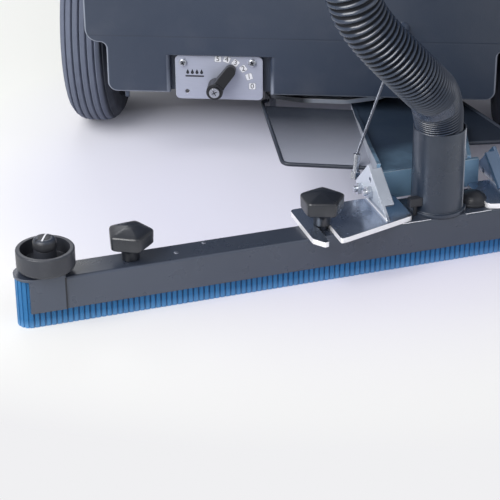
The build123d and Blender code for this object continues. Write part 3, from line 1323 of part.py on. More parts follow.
def guide_roller(u):
    """A cup-shaped roller with a hub in the middle."""
    with BuildPart() as roller:
        for radius, bottom, top, mode in (
            (ROLLER_R, ROLLER_BOTTOM, ROLLER_TOP, Mode.ADD),
            (ROLLER_R - CUP_WALL, CUP_FLOOR, ROLLER_TOP, Mode.SUBTRACT),
            (HUB_R, CUP_FLOOR, ROLLER_TOP, Mode.ADD),
            (STUD_R + FIT, ROLLER_BOTTOM, ROLLER_TOP, Mode.SUBTRACT),
        ):
            with BuildSketch(SQUEEGEE.offset(bottom)):
                with Locations((u, END_V)):
                    Circle(radius)
            extrude(amount=top - bottom, mode=mode)
        rims = roller.edges().filter_by(GeomType.CIRCLE).filter_by(lambda edge: edge.radius > ROLLER_R - 1)
        fillet(rims.sort_by(Axis.Z)[0], 4)
        rims = roller.edges().filter_by(GeomType.CIRCLE).filter_by(lambda edge: edge.radius > ROLLER_R - 1)
        fillet(rims.sort_by(Axis.Z)[-1], 1.5)
    return roller


for side in (-1, 1):
    keep(side_name(side) + "_roller", guide_roller(side * ROLLER_U))

# Suction cuff on the bar, with a stop for the hose inside
CUFF_FLANGE_R = 27.0
HOSE_STOP_Z = 98.0

with BuildPart() as suction_cuff:
    for radius, bottom, top, mode in (
        (CUFF_FLANGE_R, BAR_TOP, BAR_TOP + 3, Mode.ADD),
        (CUFF_R, BAR_TOP, CUFF_TOP, Mode.ADD),
        (SUCTION_R, BAR_TOP, CUFF_TOP, Mode.SUBTRACT),
        (HOSE_R + 1, HOSE_STOP_Z, CUFF_TOP, Mode.SUBTRACT),
    ):
        with BuildSketch(SQUEEGEE.offset(bottom)):
            with Locations((CUFF_U, CUFF_V)):
                Circle(radius)
        extrude(amount=top - bottom, mode=mode)
keep("suction_cuff", suction_cuff)

# Suction hose: two ribbed stretches and the coupling between them
HOSE_FOOT = tuple(on_squeegee(CUFF_U, CUFF_V, HOSE_STOP_Z))
LOWER_ROUTE = (HOSE_FOOT, (HOSE_FOOT[0], HOSE_FOOT[1], 154), (117, -345, 190), (68, -368, 253),
               (55, -377, 291), (34, -383, 341))
COUPLING_LENGTH = 60.0
COUPLING_RING = 10.0
COUPLING_WAY = (Vector(LOWER_ROUTE[-1]) - Vector(LOWER_ROUTE[-2])).normalized()
COUPLING_END = Vector(LOWER_ROUTE[-1]) + COUPLING_WAY * COUPLING_LENGTH
UPPER_ROUTE = (COUPLING_END, COUPLING_END + COUPLING_WAY * 75, (-46, -392, 508), (-46, -345, 552),
               (-36, -280, 570), (INLET_X, -222, INLET_Z), (INLET_X, HOSE_STOP_Y, INLET_Z))
RIB_SECTIONS = ((0.0, HOSE_VALLEY_R), (0.25, HOSE_R), (0.6, HOSE_R), (0.85, HOSE_VALLEY_R))


def bend_radii(route):
    """The largest arc that each corner's two runs allow."""
    radii = []
    for before, corner, after in zip(route, route[1:], route[2:]):
        first = Vector(corner) - Vector(before)
        second = Vector(after) - Vector(corner)
        half_turn = radians(first.get_angle(second)) / 2
        radii.append(0.45 * min(first.length, second.length) / tan(half_turn))
    return radii


def ribbed_hose(name, route):
    """A hose with round ribs outside and a smooth bore, along straight runs and tangent arcs."""
    radii = bend_radii(route)
    with BuildPart() as hose:
        with BuildLine(mode=Mode.PRIVATE) as line:
            FilletPolyline(*route, radius=radii)
        path = line.wires()[0]
        ribs = round(path.length / HOSE_PITCH)
        places = [((rib + share) / ribs, radius) for rib in range(ribs) for share, radius in RIB_SECTIONS]
        for share, radius in places + [(1.0, HOSE_VALLEY_R)]:
            tangent = path % share
            steady = Vector(1, 0, 0) - tangent * tangent.X
            with BuildSketch(Plane(origin=path @ share, x_dir=steady, z_dir=tangent)):
                Circle(radius)
        loft(ruled=True)
        with BuildSketch(Plane(origin=path @ 0, z_dir=path % 0)):
            Circle(HOSE_BORE_R)
        sweep(path=path, mode=Mode.SUBTRACT)
    print(name, "length", round(path.length, 1), "ribs", ribs, "radii", [round(radius) for radius in radii])
    return hose


keep("vacuum_hose_lower", ribbed_hose("vacuum_hose_lower", LOWER_ROUTE))
keep("vacuum_hose_upper", ribbed_hose("vacuum_hose_upper", UPPER_ROUTE))

with BuildPart() as hose_coupling:
    coupling_start = Vector(LOWER_ROUTE[-1])
    cylinder_between(coupling_start, COUPLING_END, HOSE_R + 3)
    for share in (0.0, 0.5, 1.0):
        ring_start = coupling_start + COUPLING_WAY * (share * (COUPLING_LENGTH - COUPLING_RING))
        cylinder_between(ring_start, ring_start + COUPLING_WAY * COUPLING_RING, HOSE_R + 5)
    with BuildSketch(Plane(origin=coupling_start, z_dir=COUPLING_WAY)):
        Circle(HOSE_BORE_R)
    extrude(amount=COUPLING_LENGTH, mode=Mode.SUBTRACT)
keep("hose_coupling", hose_coupling)

with BuildPart() as lift_cable_upper:
    cylinder_between(GLAND_TIP, CABLE_JOINT, CABLE_R)
keep("lift_cable_upper", lift_cable_upper)

with BuildPart() as lift_cable_lower:
    cylinder_between(CABLE_JOINT, FERRULE_TOP + CABLE_WAY * 2, CABLE_R)
    add(bracket_fasteners.part, mode=Mode.SUBTRACT)
keep("lift_cable_lower", lift_cable_lower)

# Stand the machine on the floor, centred under its outline
CORDS = ("vacuum_hose_lower", "vacuum_hose_upper", "hose_coupling", "lift_cable_upper", "lift_cable_lower")
boxes = [piece.bounding_box() for name, piece in pieces.items() if name not in CORDS]
low = [min(box.min.X for box in boxes), min(box.min.Y for box in boxes), min(box.min.Z for box in boxes)]
high = [max(box.max.X for box in boxes), max(box.max.Y for box in boxes)]
shift = Location((-(low[0] + high[0]) / 2, -(low[1] + high[1]) / 2, -low[2]))
print("shift", shift.position)

for name, piece in pieces.items():
    placed = piece.moved(shift)
    placed.label = name
    export_step(placed, f"parts/{name}.step")
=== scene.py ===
"""Looks of a walk-behind floor scrubber-dryer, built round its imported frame.

Every object is in metres, in the frame's coordinates. Places on the machine are written in millimetres
from the machine's own origin on the floor (X right, Y forward, Z up) and turned by at(). Places on the
squeegee are written along it, ahead of it and above the floor, and turned by on_squeegee().
"""
from bisect import bisect_left
from math import cos, pi, radians, sin, tau

import bmesh
import bpy
from mathutils import Matrix, Vector


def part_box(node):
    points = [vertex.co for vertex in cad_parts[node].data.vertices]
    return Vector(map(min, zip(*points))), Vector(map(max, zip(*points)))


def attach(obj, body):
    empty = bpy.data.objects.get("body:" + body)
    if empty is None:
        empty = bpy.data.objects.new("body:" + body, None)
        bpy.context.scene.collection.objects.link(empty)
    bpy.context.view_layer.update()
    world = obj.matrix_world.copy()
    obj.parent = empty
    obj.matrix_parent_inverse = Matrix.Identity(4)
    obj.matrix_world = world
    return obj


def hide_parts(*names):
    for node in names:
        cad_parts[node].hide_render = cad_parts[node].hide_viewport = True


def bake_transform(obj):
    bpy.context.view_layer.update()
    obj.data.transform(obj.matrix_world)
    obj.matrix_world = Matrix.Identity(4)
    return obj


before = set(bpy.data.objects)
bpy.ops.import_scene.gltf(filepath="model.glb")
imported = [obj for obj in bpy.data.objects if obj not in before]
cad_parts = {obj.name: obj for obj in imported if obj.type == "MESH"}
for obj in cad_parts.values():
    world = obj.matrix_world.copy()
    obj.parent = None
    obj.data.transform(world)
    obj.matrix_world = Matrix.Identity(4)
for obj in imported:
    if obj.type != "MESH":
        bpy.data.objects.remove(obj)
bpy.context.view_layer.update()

MM = 0.001

# The machine's own origin, and the plane that the squeegee is drawn on
BODY_LOW, BODY_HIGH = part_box("lower_body")
BODY_FRONT_Y = 600.0
ORIGIN = Vector(((BODY_LOW.x + BODY_HIGH.x) / 2, BODY_HIGH.y - BODY_FRONT_Y * MM, 0))
SWING = radians(23.1)
PIVOT_Y = 38.4
ARM_REACH = 358.0

RIGHT = Vector((1, 0, 0))
FORWARD = Vector((0, 1, 0))
UP = Vector((0, 0, 1))
ALONG = Vector((cos(SWING), sin(SWING), 0))
AHEAD = Vector((-sin(SWING), cos(SWING), 0))


def at(x, y, z):
    """A place on the machine, from its own millimetres to the frame's metres."""
    return ORIGIN + Vector((x, y, z)) * MM


def on_squeegee(u, v, z):
    """A place on the squeegee: along it, ahead of it and above the floor, in millimetres."""
    return at(0, PIVOT_Y, 0) + (ALONG * u + AHEAD * (v - ARM_REACH) + UP * z) * MM


SQUEEGEE_MID = on_squeegee(0, 0, 0)


# Materials: lengths and depths in metres, edge radii in millimetres, colours from 0 to 255 as on a screen

MIX_FIRST, MIX_SECOND, MIX_RESULT = 6, 7, 2
BEVEL_SAMPLES = 6
EDGE_FLAT, EDGE_SHARP = 0.99, 0.80
GLOSS_LOW, GLOSS_HIGH = 0.3, 0.7
PEEL_DEPTH = 0.00010
FLOW_MARK_DEPTH = 0.00016
DUST = (150, 150, 156)
DUST_TOP, DUST_FULL = 0.32, 0.05
# Painted highlight for the edges of metal sheet
PAINTED_EDGE_HIGHLIGHT = (246, 248, 252)
SCREEN_TOE = 0.04045


def srgb(red, green, blue):
    """A colour as a screen shows it, in the renderer's linear terms."""
    def linear(value):
        share = value / 255
        return share / 12.92 if share <= SCREEN_TOE else ((share + 0.055) / 1.055) ** 2.4
    return (linear(red), linear(green), linear(blue), 1.0)


class Coat:
    """How a surface looks: a material whose colour, gloss and relief vary over it."""

    def __init__(self, name, colour, roughness, metallic=0.0, specular=0.5):
        self.material = bpy.data.materials.new(name)
        self.material.use_nodes = True
        self.tree = self.material.node_tree
        self.shader = self.tree.nodes["Principled BSDF"]
        self.colour = srgb(*colour)
        self.roughness = roughness
        self.normal = None
        self.feed(self.shader, Roughness=roughness, Metallic=metallic)
        self.put(self.shader.inputs["Base Color"], self.colour)
        self.put(self.shader.inputs["Specular IOR Level"], specular)
        self.where = self.add("TexCoord").outputs["Object"]

    def put(self, socket, value):
        """Give an input another node's output, or a plain value."""
        if isinstance(value, bpy.types.NodeSocket):
            self.tree.links.new(value, socket)
        else:
            socket.default_value = value

    def add(self, kind, *inputs, **settings):
        """A new node with its settings, and values for its first inputs."""
        node = self.tree.nodes.new("ShaderNode" + kind)
        for key, value in settings.items():
            setattr(node, key, value)
        for socket, value in zip(node.inputs, inputs):
            self.put(socket, value)
        return node

    def feed(self, node, **inputs):
        """Values for a node's inputs by their names."""
        for name, value in inputs.items():
            self.put(node.inputs[name], value)
        return node

    def grain(self, scale, detail, stretch=None):
        """Noise from 0 to 1, with features about one scale-th of a metre wide."""
        where = self.where
        if stretch:
            where = self.feed(self.add("Mapping"), Vector=where, Scale=stretch).outputs["Vector"]
        return self.feed(self.add("TexNoise"), Vector=where, Scale=scale, Detail=detail).outputs["Fac"]

    def between(self, value, low, high, to_low=0.0, to_high=1.0):
        """Spread a value from low to high over another range, and hold it there."""
        return self.add("MapRange", value, low, high, to_low, to_high).outputs["Result"]

    def times(self, first, second):
        return self.add("Math", first, second, operation="MULTIPLY").outputs[0]

    def dot(self, first, second):
        return self.add("VectorMath", first, second, operation="DOT_PRODUCT").outputs["Value"]

    def height(self):
        """How high a point stands above the floor."""
        return self.add("SeparateXYZ", self.where).outputs["Z"]

    def along(self, start, way):
        """How far a point lies along a direction from a place."""
        offset = self.add("VectorMath", self.where, start, operation="SUBTRACT")
        return self.dot(offset.outputs["Vector"], way)

    def away_from(self, place):
        """How far a point lies from a place."""
        return self.add("VectorMath", self.where, place, operation="DISTANCE").outputs["Value"]

    def facing(self, way):
        """How squarely the surface faces a direction, from -1 to 1."""
        return self.dot(self.add("NewGeometry").outputs["Normal"], way)

    def band(self, value, low, high, soft):
        """One between two values and nothing outside them, over a soft step."""
        return self.times(self.between(value, low - soft, low), self.between(value, high + soft, high))

    def tint(self, share, colour, most=None):
        """Paint another colour over the surface by a share from 0 to 1, or by that share of the most."""
        mix = self.add("Mix", self.times(share, most) if most else share, data_type="RGBA")
        self.put(mix.inputs[MIX_FIRST], self.colour)
        self.put(mix.inputs[MIX_SECOND], srgb(*colour))
        self.colour = mix.outputs[MIX_RESULT]
        self.put(self.shader.inputs["Base Color"], self.colour)

    def fade(self, value, low, high, most, colour):
        """Paint another colour from where a value is low, and by the most where it is high."""
        self.tint(self.between(value, low, high, 0.0, most), colour)

    def mottle(self, scale, detail, low, high, most, colour):
        """Paint another colour in patches, by a grain."""
        self.fade(self.grain(scale, detail), low, high, most, colour)

    def uneven_gloss(self, pattern, less, more):
        """Let the roughness vary with a pattern, by so much less and so much more."""
        varied = self.between(pattern, GLOSS_LOW, GLOSS_HIGH, self.roughness - less, self.roughness + more)
        self.put(self.shader.inputs["Roughness"], varied)

    def shade_by(self, normal):
        self.normal = normal
        self.put(self.shader.inputs["Normal"], normal)

    def relief(self, height, depth):
        """Raise the surface by a height from 0 to 1 times a depth."""
        bump = self.feed(self.add("Bump"), Distance=depth, Height=height)
        if self.normal:
            self.put(bump.inputs["Normal"], self.normal)
        self.shade_by(bump.outputs["Normal"])

    def roughen(self, scale, depth):
        self.relief(self.grain(scale, 2), depth)

    def round_edges(self, radius):
        """Shade sharp edges as if rounded, and return where they are, from 0 to 1."""
        self.shade_by(self.add("Bevel", radius * MM, samples=BEVEL_SAMPLES).outputs["Normal"])
        return self.between(self.facing(self.normal), EDGE_FLAT, EDGE_SHARP)


def moulded(name, colour, light, edge, roughness=0.5, edge_radius=1.6, specular=0.5):
    """Moulded plastic: orange peel, faint flow marks, burnished edges and a little dust low down."""
    coat = Coat(name, colour, roughness, specular=specular)
    edges = coat.round_edges(edge_radius)
    coat.mottle(9, 4, 0.35, 0.75, 0.45, light)
    coat.mottle(160, 2, 0.5, 0.8, 0.2, light)
    scuffed = coat.between(coat.grain(55, 5), 0.42, 0.62)
    coat.tint(coat.times(edges, scuffed), edge, 0.6)
    dusty = coat.between(coat.grain(28, 5), 0.5, 0.8)
    coat.tint(coat.times(coat.between(coat.height(), DUST_TOP, DUST_FULL), dusty), DUST, 0.1)
    coat.uneven_gloss(coat.grain(40, 4), 0.05, 0.07)
    coat.roughen(620, PEEL_DEPTH)
    coat.roughen(90, FLOW_MARK_DEPTH)
    return coat


def body_plastic():
    """Body plastic: painted shade on the rear's right, painted edge highlights, painted shade in a crease.
    """
    coat = moulded("slate_body_plastic", (51, 61, 79), (57, 67, 85), (146, 154, 170), roughness=0.34,
                   specular=0.55)
    to_rear = coat.facing(-FORWARD)
    across = coat.along(ORIGIN, RIGHT)
    # Painted shade on the rear faces, growing towards the right
    painted_right_shade = coat.between(across, -0.05, 0.25, 0.0, 0.55)
    coat.tint(coat.times(coat.between(to_rear, 0.4, 0.8), painted_right_shade), (36, 44, 57))
    # Painted highlights on the rear's rounded edges, left out in the middle higher up
    rounded = coat.band(to_rear, 0.3, 0.9, 0.08)
    middle = coat.times(coat.band(across, -0.13, 0.13, 0.01), coat.between(coat.height(), 0.09, 0.11))
    coat.tint(coat.times(rounded, coat.between(middle, 0.0, 1.0, 0.6, 0.0)), (152, 160, 176))
    # A faint crease: a shallow groove with painted shade along it
    crease_line = coat.band(coat.height(), 0.1446, 0.1454, 0.0007)
    coat.tint(crease_line, (38, 44, 58), 0.3)
    coat.relief(coat.between(crease_line, 0.0, 1.0, 1.0, 0.0), 0.00012)
    return coat


def cuff_plastic():
    """The cuff's plastic, with painted light on its right and painted highlights along its two sides."""
    coat = moulded("cuff_plastic", (34, 44, 59), (42, 52, 67), (116, 124, 138), roughness=0.3, specular=0.6)
    to_right = coat.facing(RIGHT)
    # Painted light on the side facing right, a painted highlight along the right side and a faint one on
    # the left
    coat.fade(to_right, 0.2, 0.9, 0.4, (92, 100, 112))
    coat.tint(coat.band(to_right, 0.955, 0.999, 0.012), (196, 201, 210), 0.7)
    coat.tint(coat.band(coat.facing(-RIGHT), 0.80, 0.93, 0.05), (120, 127, 140), 0.15)
    return coat


def rubber(name, colour, dust, roughness=0.72, edge_radius=0.8):
    """Rubber: matt, with a dusty bloom on its raised parts."""
    coat = Coat(name, colour, roughness, specular=0.35)
    edges = coat.round_edges(edge_radius)
    coat.mottle(22, 5, 0.4, 0.75, 0.4, dust)
    coat.tint(coat.times(edges, coat.between(coat.grain(120, 3), 0.35, 0.65, 0.1, 0.6)), dust)
    coat.uneven_gloss(coat.grain(60, 4), 0.1, 0.1)
    coat.roughen(900, 0.00008)
    coat.roughen(200, 0.00010)
    return coat


def tyre_rubber():
    """Grey tyre rubber, painted shade on the sides facing the chassis, the same dark tint on the castors.
    """
    coat = rubber("tyre_rubber", (94, 101, 119), (114, 121, 138))
    # Painted shade on the tyres' inner sides, which also darkens the castors between them
    coat.tint(coat.band(coat.along(ORIGIN, RIGHT), -0.208, 0.208, 0.005), (38, 42, 51), 0.85)
    return coat


# Ribs of the rear blade, counted along the squeegee from its right end
RIB_END_U = 396.0
RIB_COUNT = 158
RIB_PITCH = 2 * RIB_END_U / RIB_COUNT


def ribbed_blade():
    """Blue blade rubber: painted shade in the rib grooves and towards its right end, and a worn lip at the
    floor.
    """
    coat = rubber("blue_blade_rubber", (35, 104, 158), (50, 120, 174), roughness=0.42, edge_radius=0.5)
    along = coat.along(on_squeegee(RIB_END_U, 0, 0), -ALONG)
    # Painted shade towards the right end
    coat.fade(along, 0.45, 0.25, 0.5, (24, 84, 142))
    within = coat.band(along, 0.0, 2 * RIB_END_U * MM, 0.0005)
    on_rib = coat.add("Math", coat.times(along, 1 / (RIB_PITCH * MM)), operation="FRACT").outputs[0]
    # Painted shade in the grooves between the ribs
    groove = coat.band(on_rib, 0.72, 0.92, 0.06)
    coat.tint(coat.times(groove, within), (12, 42, 86), 0.75)
    coat.fade(coat.height(), 0.008, 0.0, 0.5, (120, 168, 214))
    return coat


def zinc(name, colour, shade, roughness=0.2, metallic=1.0):
    """Zinc-plated sheet: a blue cast, faint spangle, and painted highlights on its edges."""
    coat = Coat(name, colour, roughness, metallic=metallic)
    edges = coat.round_edges(0.9)
    coat.mottle(14, 4, 0.35, 0.7, 0.6, shade)
    spangle = coat.feed(coat.add("TexVoronoi"), Vector=coat.where, Scale=260).outputs["Distance"]
    coat.fade(spangle, 0.05, 0.5, 0.1, shade)
    # Painted highlights on the edges
    coat.tint(edges, PAINTED_EDGE_HIGHLIGHT, 0.8)
    coat.uneven_gloss(coat.grain(45, 4), 0.04, 0.1)
    coat.roughen(22, 0.00004)
    return coat


def bracket_zinc():
    """Zinc on the squeegee's brackets: pale gussets, painted edge highlights, painted shade on the right
    and folds.
    """
    coat = zinc("bracket_zinc", (190, 199, 214), (126, 148, 180))
    # Painted highlights, white and less metallic, on the sheared sides of the base plates
    sheared = coat.band(coat.facing(UP), -0.4, 0.4, 0.15)
    edge = coat.times(sheared, coat.between(coat.height(), 0.056, 0.053))
    gusset = coat.between(coat.height(), 0.054, 0.058)
    coat.tint(gusset, (214, 221, 231), 0.8)
    # Painted shade on the right-hand gusset
    right = coat.between(coat.along(SQUEEGEE_MID, ALONG), 0.02, 0.04)
    coat.tint(coat.times(gusset, right), (66, 106, 142), 0.9)
    # Painted shade on the gussets' folded flanges that face the rear
    painted_flange_shade = coat.between(coat.facing(-AHEAD), 0.4, 0.8)
    coat.tint(coat.times(gusset, painted_flange_shade), (128, 137, 157), 0.75)
    coat.tint(edge, (246, 246, 250))
    dull_edge = coat.between(edge, 0.0, 1.0, 0.92, 0.15)
    dull_gusset = coat.between(gusset, 0.0, 1.0, 1.0, 0.4)
    coat.put(coat.shader.inputs["Metallic"], coat.times(dull_edge, dull_gusset))
    return coat


def arm_zinc():
    """Blue zinc on the lift arm: painted shade towards the body and on top, painted highlight on the left
    flange.
    """
    coat = zinc("blue_zinc_arm", (156, 196, 226), (130, 168, 200), roughness=0.32, metallic=0.35)
    # Painted shade in the channel, deepening towards the body
    coat.fade(coat.along(SQUEEGEE_MID, AHEAD), 0.037, 0.098, 0.94, (39, 48, 62))
    # Painted shade on the top faces, patchy by a grain
    worn = coat.between(coat.grain(26, 4), 0.42, 0.60, 0.75, 0.35)
    coat.tint(coat.times(coat.between(coat.facing(UP), 0.6, 0.9), worn), (48, 62, 82))
    # Painted highlight on the left flange
    coat.tint(coat.between(coat.facing(-ALONG), 0.6, 0.9), (196, 201, 212), 0.9)
    return coat


def swing_zinc():
    """Zinc on the swing plate, with painted shade on the side that hangs under the dial."""
    coat = zinc("swing_plate_zinc", (214, 220, 230), (176, 190, 210), roughness=0.3, metallic=0.7)
    # Painted shade on the side under the dial
    coat.fade(coat.along(SQUEEGEE_MID, ALONG), -0.050, -0.060, 0.9, (30, 33, 40))
    return coat


def wing_sheet():
    """Dull pale sheet with painted shade towards the body, and over all of the right-hand one."""
    coat = Coat("pale_wing_sheet", (186, 190, 205), 0.45, specular=0.35)
    edges = coat.round_edges(0.4)
    coat.mottle(18, 4, 0.35, 0.7, 0.5, (176, 181, 197))
    # Painted shade towards the body, and over the whole right-hand sheet
    coat.fade(coat.along(ORIGIN, FORWARD), -0.305, -0.140, 0.97, (36, 42, 53))
    coat.fade(coat.along(SQUEEGEE_MID, ALONG), 0.015, 0.030, 0.96, (28, 36, 48))
    coat.tint(edges, (206, 208, 216), 0.4)
    coat.uneven_gloss(coat.grain(50, 4), 0.07, 0.07)
    coat.roughen(30, 0.00004)
    return coat


def plain_steel(name, colour, roughness=0.28):
    """Turned steel: fine marks, a few darker patches and painted highlights on its edges."""
    coat = Coat(name, colour, roughness, metallic=1.0)
    edges = coat.round_edges(0.4)
    coat.mottle(70, 4, 0.5, 0.8, 0.5, (120, 124, 132))
    # Painted highlights on the edges
    coat.tint(edges, (244, 246, 250), 0.6)
    coat.uneven_gloss(coat.grain(300, 3), 0.08, 0.14)
    coat.roughen(500, 0.00003)
    return coat


def painted(name, colour, light, bare, roughness, specular=0.5, scratched=0.16, peel=0.00005):
    """Coated metal: orange peel, tiny scratches, and bare metal where edges have worn."""
    coat = Coat(name, colour, roughness, specular=specular)
    edges = coat.round_edges(1.0)
    coat.mottle(11, 4, 0.35, 0.75, 0.5, light)
    coat.tint(coat.between(coat.grain(30, 6, stretch=(1, 1, 22)), 0.66, 0.74), bare, scratched)
    coat.tint(coat.times(edges, coat.between(coat.grain(85, 4), 0.44, 0.6)), bare, 0.55)
    coat.uneven_gloss(coat.grain(50, 4), 0.06, 0.08)
    coat.roughen(480, peel)
    return coat


def bar_coat():
    """Grey coat on the squeegee's bar and caps, with painted shade on top and towards the right."""
    coat = painted("grey_bar_coat", (65, 73, 89), (70, 78, 94), (112, 120, 134), roughness=0.3,
                   specular=0.7, scratched=0.04, peel=0.00002)
    # Painted shade towards the right, and on the top faces
    coat.fade(coat.along(SQUEEGEE_MID, ALONG), -0.32, 0.0, 0.6, (40, 49, 62))
    coat.fade(coat.facing(UP), 0.6, 0.95, 0.85, (46, 53, 66))
    return coat


def brushed_sheet():
    """Brushed aluminium sheet with long fine lines and painted highlights on its edges."""
    coat = Coat("brushed_dial_sheet", (184, 189, 206), 0.38, metallic=0.5)
    shade = (170, 176, 195)
    edges = coat.round_edges(0.5)
    lines = coat.grain(120, 5, stretch=(1, 1, 26))
    coat.fade(lines, 0.35, 0.7, 0.4, shade)
    coat.mottle(40, 3, 0.45, 0.75, 0.35, shade)
    # Painted highlights on the edges
    coat.tint(edges, PAINTED_EDGE_HIGHLIGHT, 0.8)
    coat.uneven_gloss(lines, 0.08, 0.12)
    coat.relief(lines, 0.00002)
    return coat


def ribbed_plastic(name, colour, light, roughness, specular=0.6):
    """Soft hose plastic: smooth and slightly glossy, greyer where it has been rubbed."""
    coat = Coat(name, colour, roughness, specular=specular)
    coat.mottle(30, 4, 0.4, 0.75, 0.45, light)
    coat.mottle(190, 3, 0.55, 0.8, 0.3, light)
    coat.uneven_gloss(coat.grain(70, 4), 0.06, 0.1)
    coat.roughen(420, 0.00005)
    return coat


def ink(name, colour, roughness=0.5):
    """Printed ink with a trace of wear."""
    coat = Coat(name, colour, roughness)
    coat.mottle(700, 3, 0.5, 0.75, 0.5, tuple(min(255, part + 22) for part in colour))
    return coat


# Floor and sky: the places that the floor's tones, its painted shade and painted light spread from, and how
# far, in metres
SKY_COLOUR = (0.90, 0.90, 0.935)
SKY_STRENGTH = 0.55
SHADOW_GLOW = (230, 233, 252)
OPEN_FLOOR = (240, 240, 242)
BEHIND_MACHINE, BEHIND_REACH = at(60, -150, 0), (0.46, 0.20)
DIAL_SHADOW, SHADOW_REACH, SHADOW_LIFT = at(-100, -190, 0), (0.15, 0.235), (0.40, 0.03)
FLOOR_MID, OPEN_REACH = at(0, 300, 0), (0.72, 0.95)
SKY_REACH = (1.5, 4.5)


def floor_paint():
    """Pale floor: the machine's shadow, painted shade and light near it, even grey further out, sky's
    colour far off.
    """
    coat = Coat("studio_floor", (244, 245, 240), 0.6, specular=0.15)
    coat.mottle(1.3, 3, 0.3, 0.7, 0.4, (242, 243, 239))
    # Painted shade: a lavender tint near the machine
    coat.tint(coat.between(coat.away_from(BEHIND_MACHINE), *BEHIND_REACH), (228, 226, 239))
    light = coat.add("LightPath")
    seen = light.outputs["Is Camera Ray"]
    for other in ("Is Glossy Ray", "Is Transmission Ray"):
        seen = coat.add("Math", seen, light.outputs[other], operation="MAXIMUM").outputs[0]
    # Painted light: a glow seen by the camera that lifts the shadow by the dial
    in_shadow = coat.between(coat.away_from(DIAL_SHADOW), *SHADOW_REACH, *SHADOW_LIFT)
    in_open = coat.between(coat.away_from(FLOOR_MID), *OPEN_REACH)
    far_off = coat.between(coat.away_from(ORIGIN), *SKY_REACH)
    sky = tuple(part * SKY_STRENGTH for part in SKY_COLOUR) + (1.0,)
    surface = coat.shader.outputs["BSDF"]
    for colour, share in ((srgb(*SHADOW_GLOW), in_shadow), (srgb(*OPEN_FLOOR), in_open), (sky, far_off)):
        glow = coat.add("Emission", colour).outputs["Emission"]
        surface = coat.add("MixShader", coat.times(seen, share), surface, glow).outputs["Shader"]
    coat.put(coat.tree.nodes["Material Output"].inputs["Surface"], surface)
    return coat


BLACK = moulded("black_fine_grain_plastic", (33, 35, 41), (42, 44, 50), (88, 91, 100), roughness=0.4,
                edge_radius=0.8)
KNOB = moulded("knob_plastic", (26, 30, 38), (33, 37, 45), (90, 94, 104), roughness=0.3, edge_radius=0.9,
               specular=0.8)
SOFT = rubber("black_soft_rubber", (44, 45, 49), (78, 79, 84))
STEEL = plain_steel("turned_steel", (205, 209, 216))
ROPE = plain_steel("grey_wire_rope", (150, 155, 168), roughness=0.4)
HOSE = ribbed_plastic("hose_plastic", (42, 53, 71), (56, 67, 86), 0.2, specular=0.8)
# Painted shade for the hose's valleys: a darker copy of the hose plastic
HOSE_VALLEY_SHADE = ribbed_plastic("hose_valley_painted_shade", (17, 22, 32), (26, 31, 41), 0.5, specular=0.3)
FIBRE = ribbed_plastic("brush_fibre", (54, 74, 112), (80, 100, 138), 0.45)
GLASS = ribbed_plastic("dark_gauge_window", (18, 20, 24), (26, 28, 32), 0.12)
WHITE_INK = ink("white_print", (224, 226, 233))
GREY_INK = ink("grey_print", (112, 116, 130))
DARK_INK = ink("dark_print", (30, 33, 42))
GREEN_INK = ink("green_print", (60, 150, 84), roughness=0.25)
AMBER_INK = ink("amber_print", (214, 156, 44), roughness=0.25)
RED_INK = ink("red_print", (190, 52, 44), roughness=0.25)

# Coats, each with the CAD nodes that it dresses
NODE_COATS = (
    (body_plastic(), "lower_body"),
    (moulded("slate_tank_plastic", (53, 61, 77), (59, 67, 83), (146, 154, 170), roughness=0.4),
     "recovery_tank"),
    (moulded("slate_lid_plastic", (47, 55, 71), (56, 64, 80), (140, 148, 164), roughness=0.4), "tank_lid"),
    (moulded("charcoal_console_plastic", (46, 49, 56), (56, 59, 67), (120, 124, 132)), "console"),
    (BLACK, "filler_cap", "deck_lever", "squeegee_lever", "hose_coupling"),
    (moulded("lever_plastic", (20, 22, 27), (27, 29, 34), (84, 87, 96), roughness=0.36, edge_radius=0.8,
             specular=0.6), "dial_lever"),
    (moulded("roller_plastic", (51, 54, 62), (60, 63, 71), (124, 127, 136), roughness=0.4, edge_radius=0.9),
     "left_roller", "right_roller"),
    (cuff_plastic(), "suction_cuff"),
    (moulded("wheel_plastic", (112, 118, 130), (122, 128, 140), (160, 166, 176)), "left_rim", "right_rim"),
    (moulded("panel_sheet", (168, 172, 178), (178, 182, 188), (206, 208, 212)), "control_panel"),
    (moulded("green_button_plastic", (46, 120, 62), (58, 134, 74), (120, 176, 130), roughness=0.3,
             edge_radius=0.8), "brush_button", "vacuum_button"),
    (moulded("battery_case_plastic", (36, 37, 41), (46, 47, 51), (90, 92, 96), roughness=0.35),
     "batteries"),
    (tyre_rubber(), "left_tyre", "right_tyre", "left_castor_wheel", "right_castor_wheel"),
    (SOFT, "deck_skirt", "lid_seal", "front_blade", "grips"),
    (ribbed_blade(), "rear_blade"),
    (zinc("zinc_plated_sheet", (200, 207, 220), (150, 165, 190)), "left_castor_fork", "right_castor_fork"),
    (bracket_zinc(), "squeegee_brackets"),
    (arm_zinc(), "swing_arm"),
    (swing_zinc(), "swing_plate"),
    (wing_sheet(), "wing_sheets"),
    (STEEL, "bracket_fasteners", "chassis_pins", "hinge_pins", "key_switch", "presence_bar",
     "dial_fasteners"),
    (painted("dark_coated_steel", (46, 52, 64), (56, 62, 74), (120, 126, 138), roughness=0.36), "stay_rods",
     "squeegee_studs", "handle_bar"),
    (painted("black_powder_coat", (40, 41, 45), (52, 53, 57), (130, 132, 136), roughness=0.5),
     "chassis_frame", "deck_housing"),
    (painted("motor_enamel", (92, 95, 100), (104, 107, 112), (150, 152, 156), roughness=0.42),
     "drive_motors", "brush_motors", "vacuum_motor"),
    (bar_coat(), "squeegee_bar", "end_caps"),
    (brushed_sheet(), "dial_plate"),
)


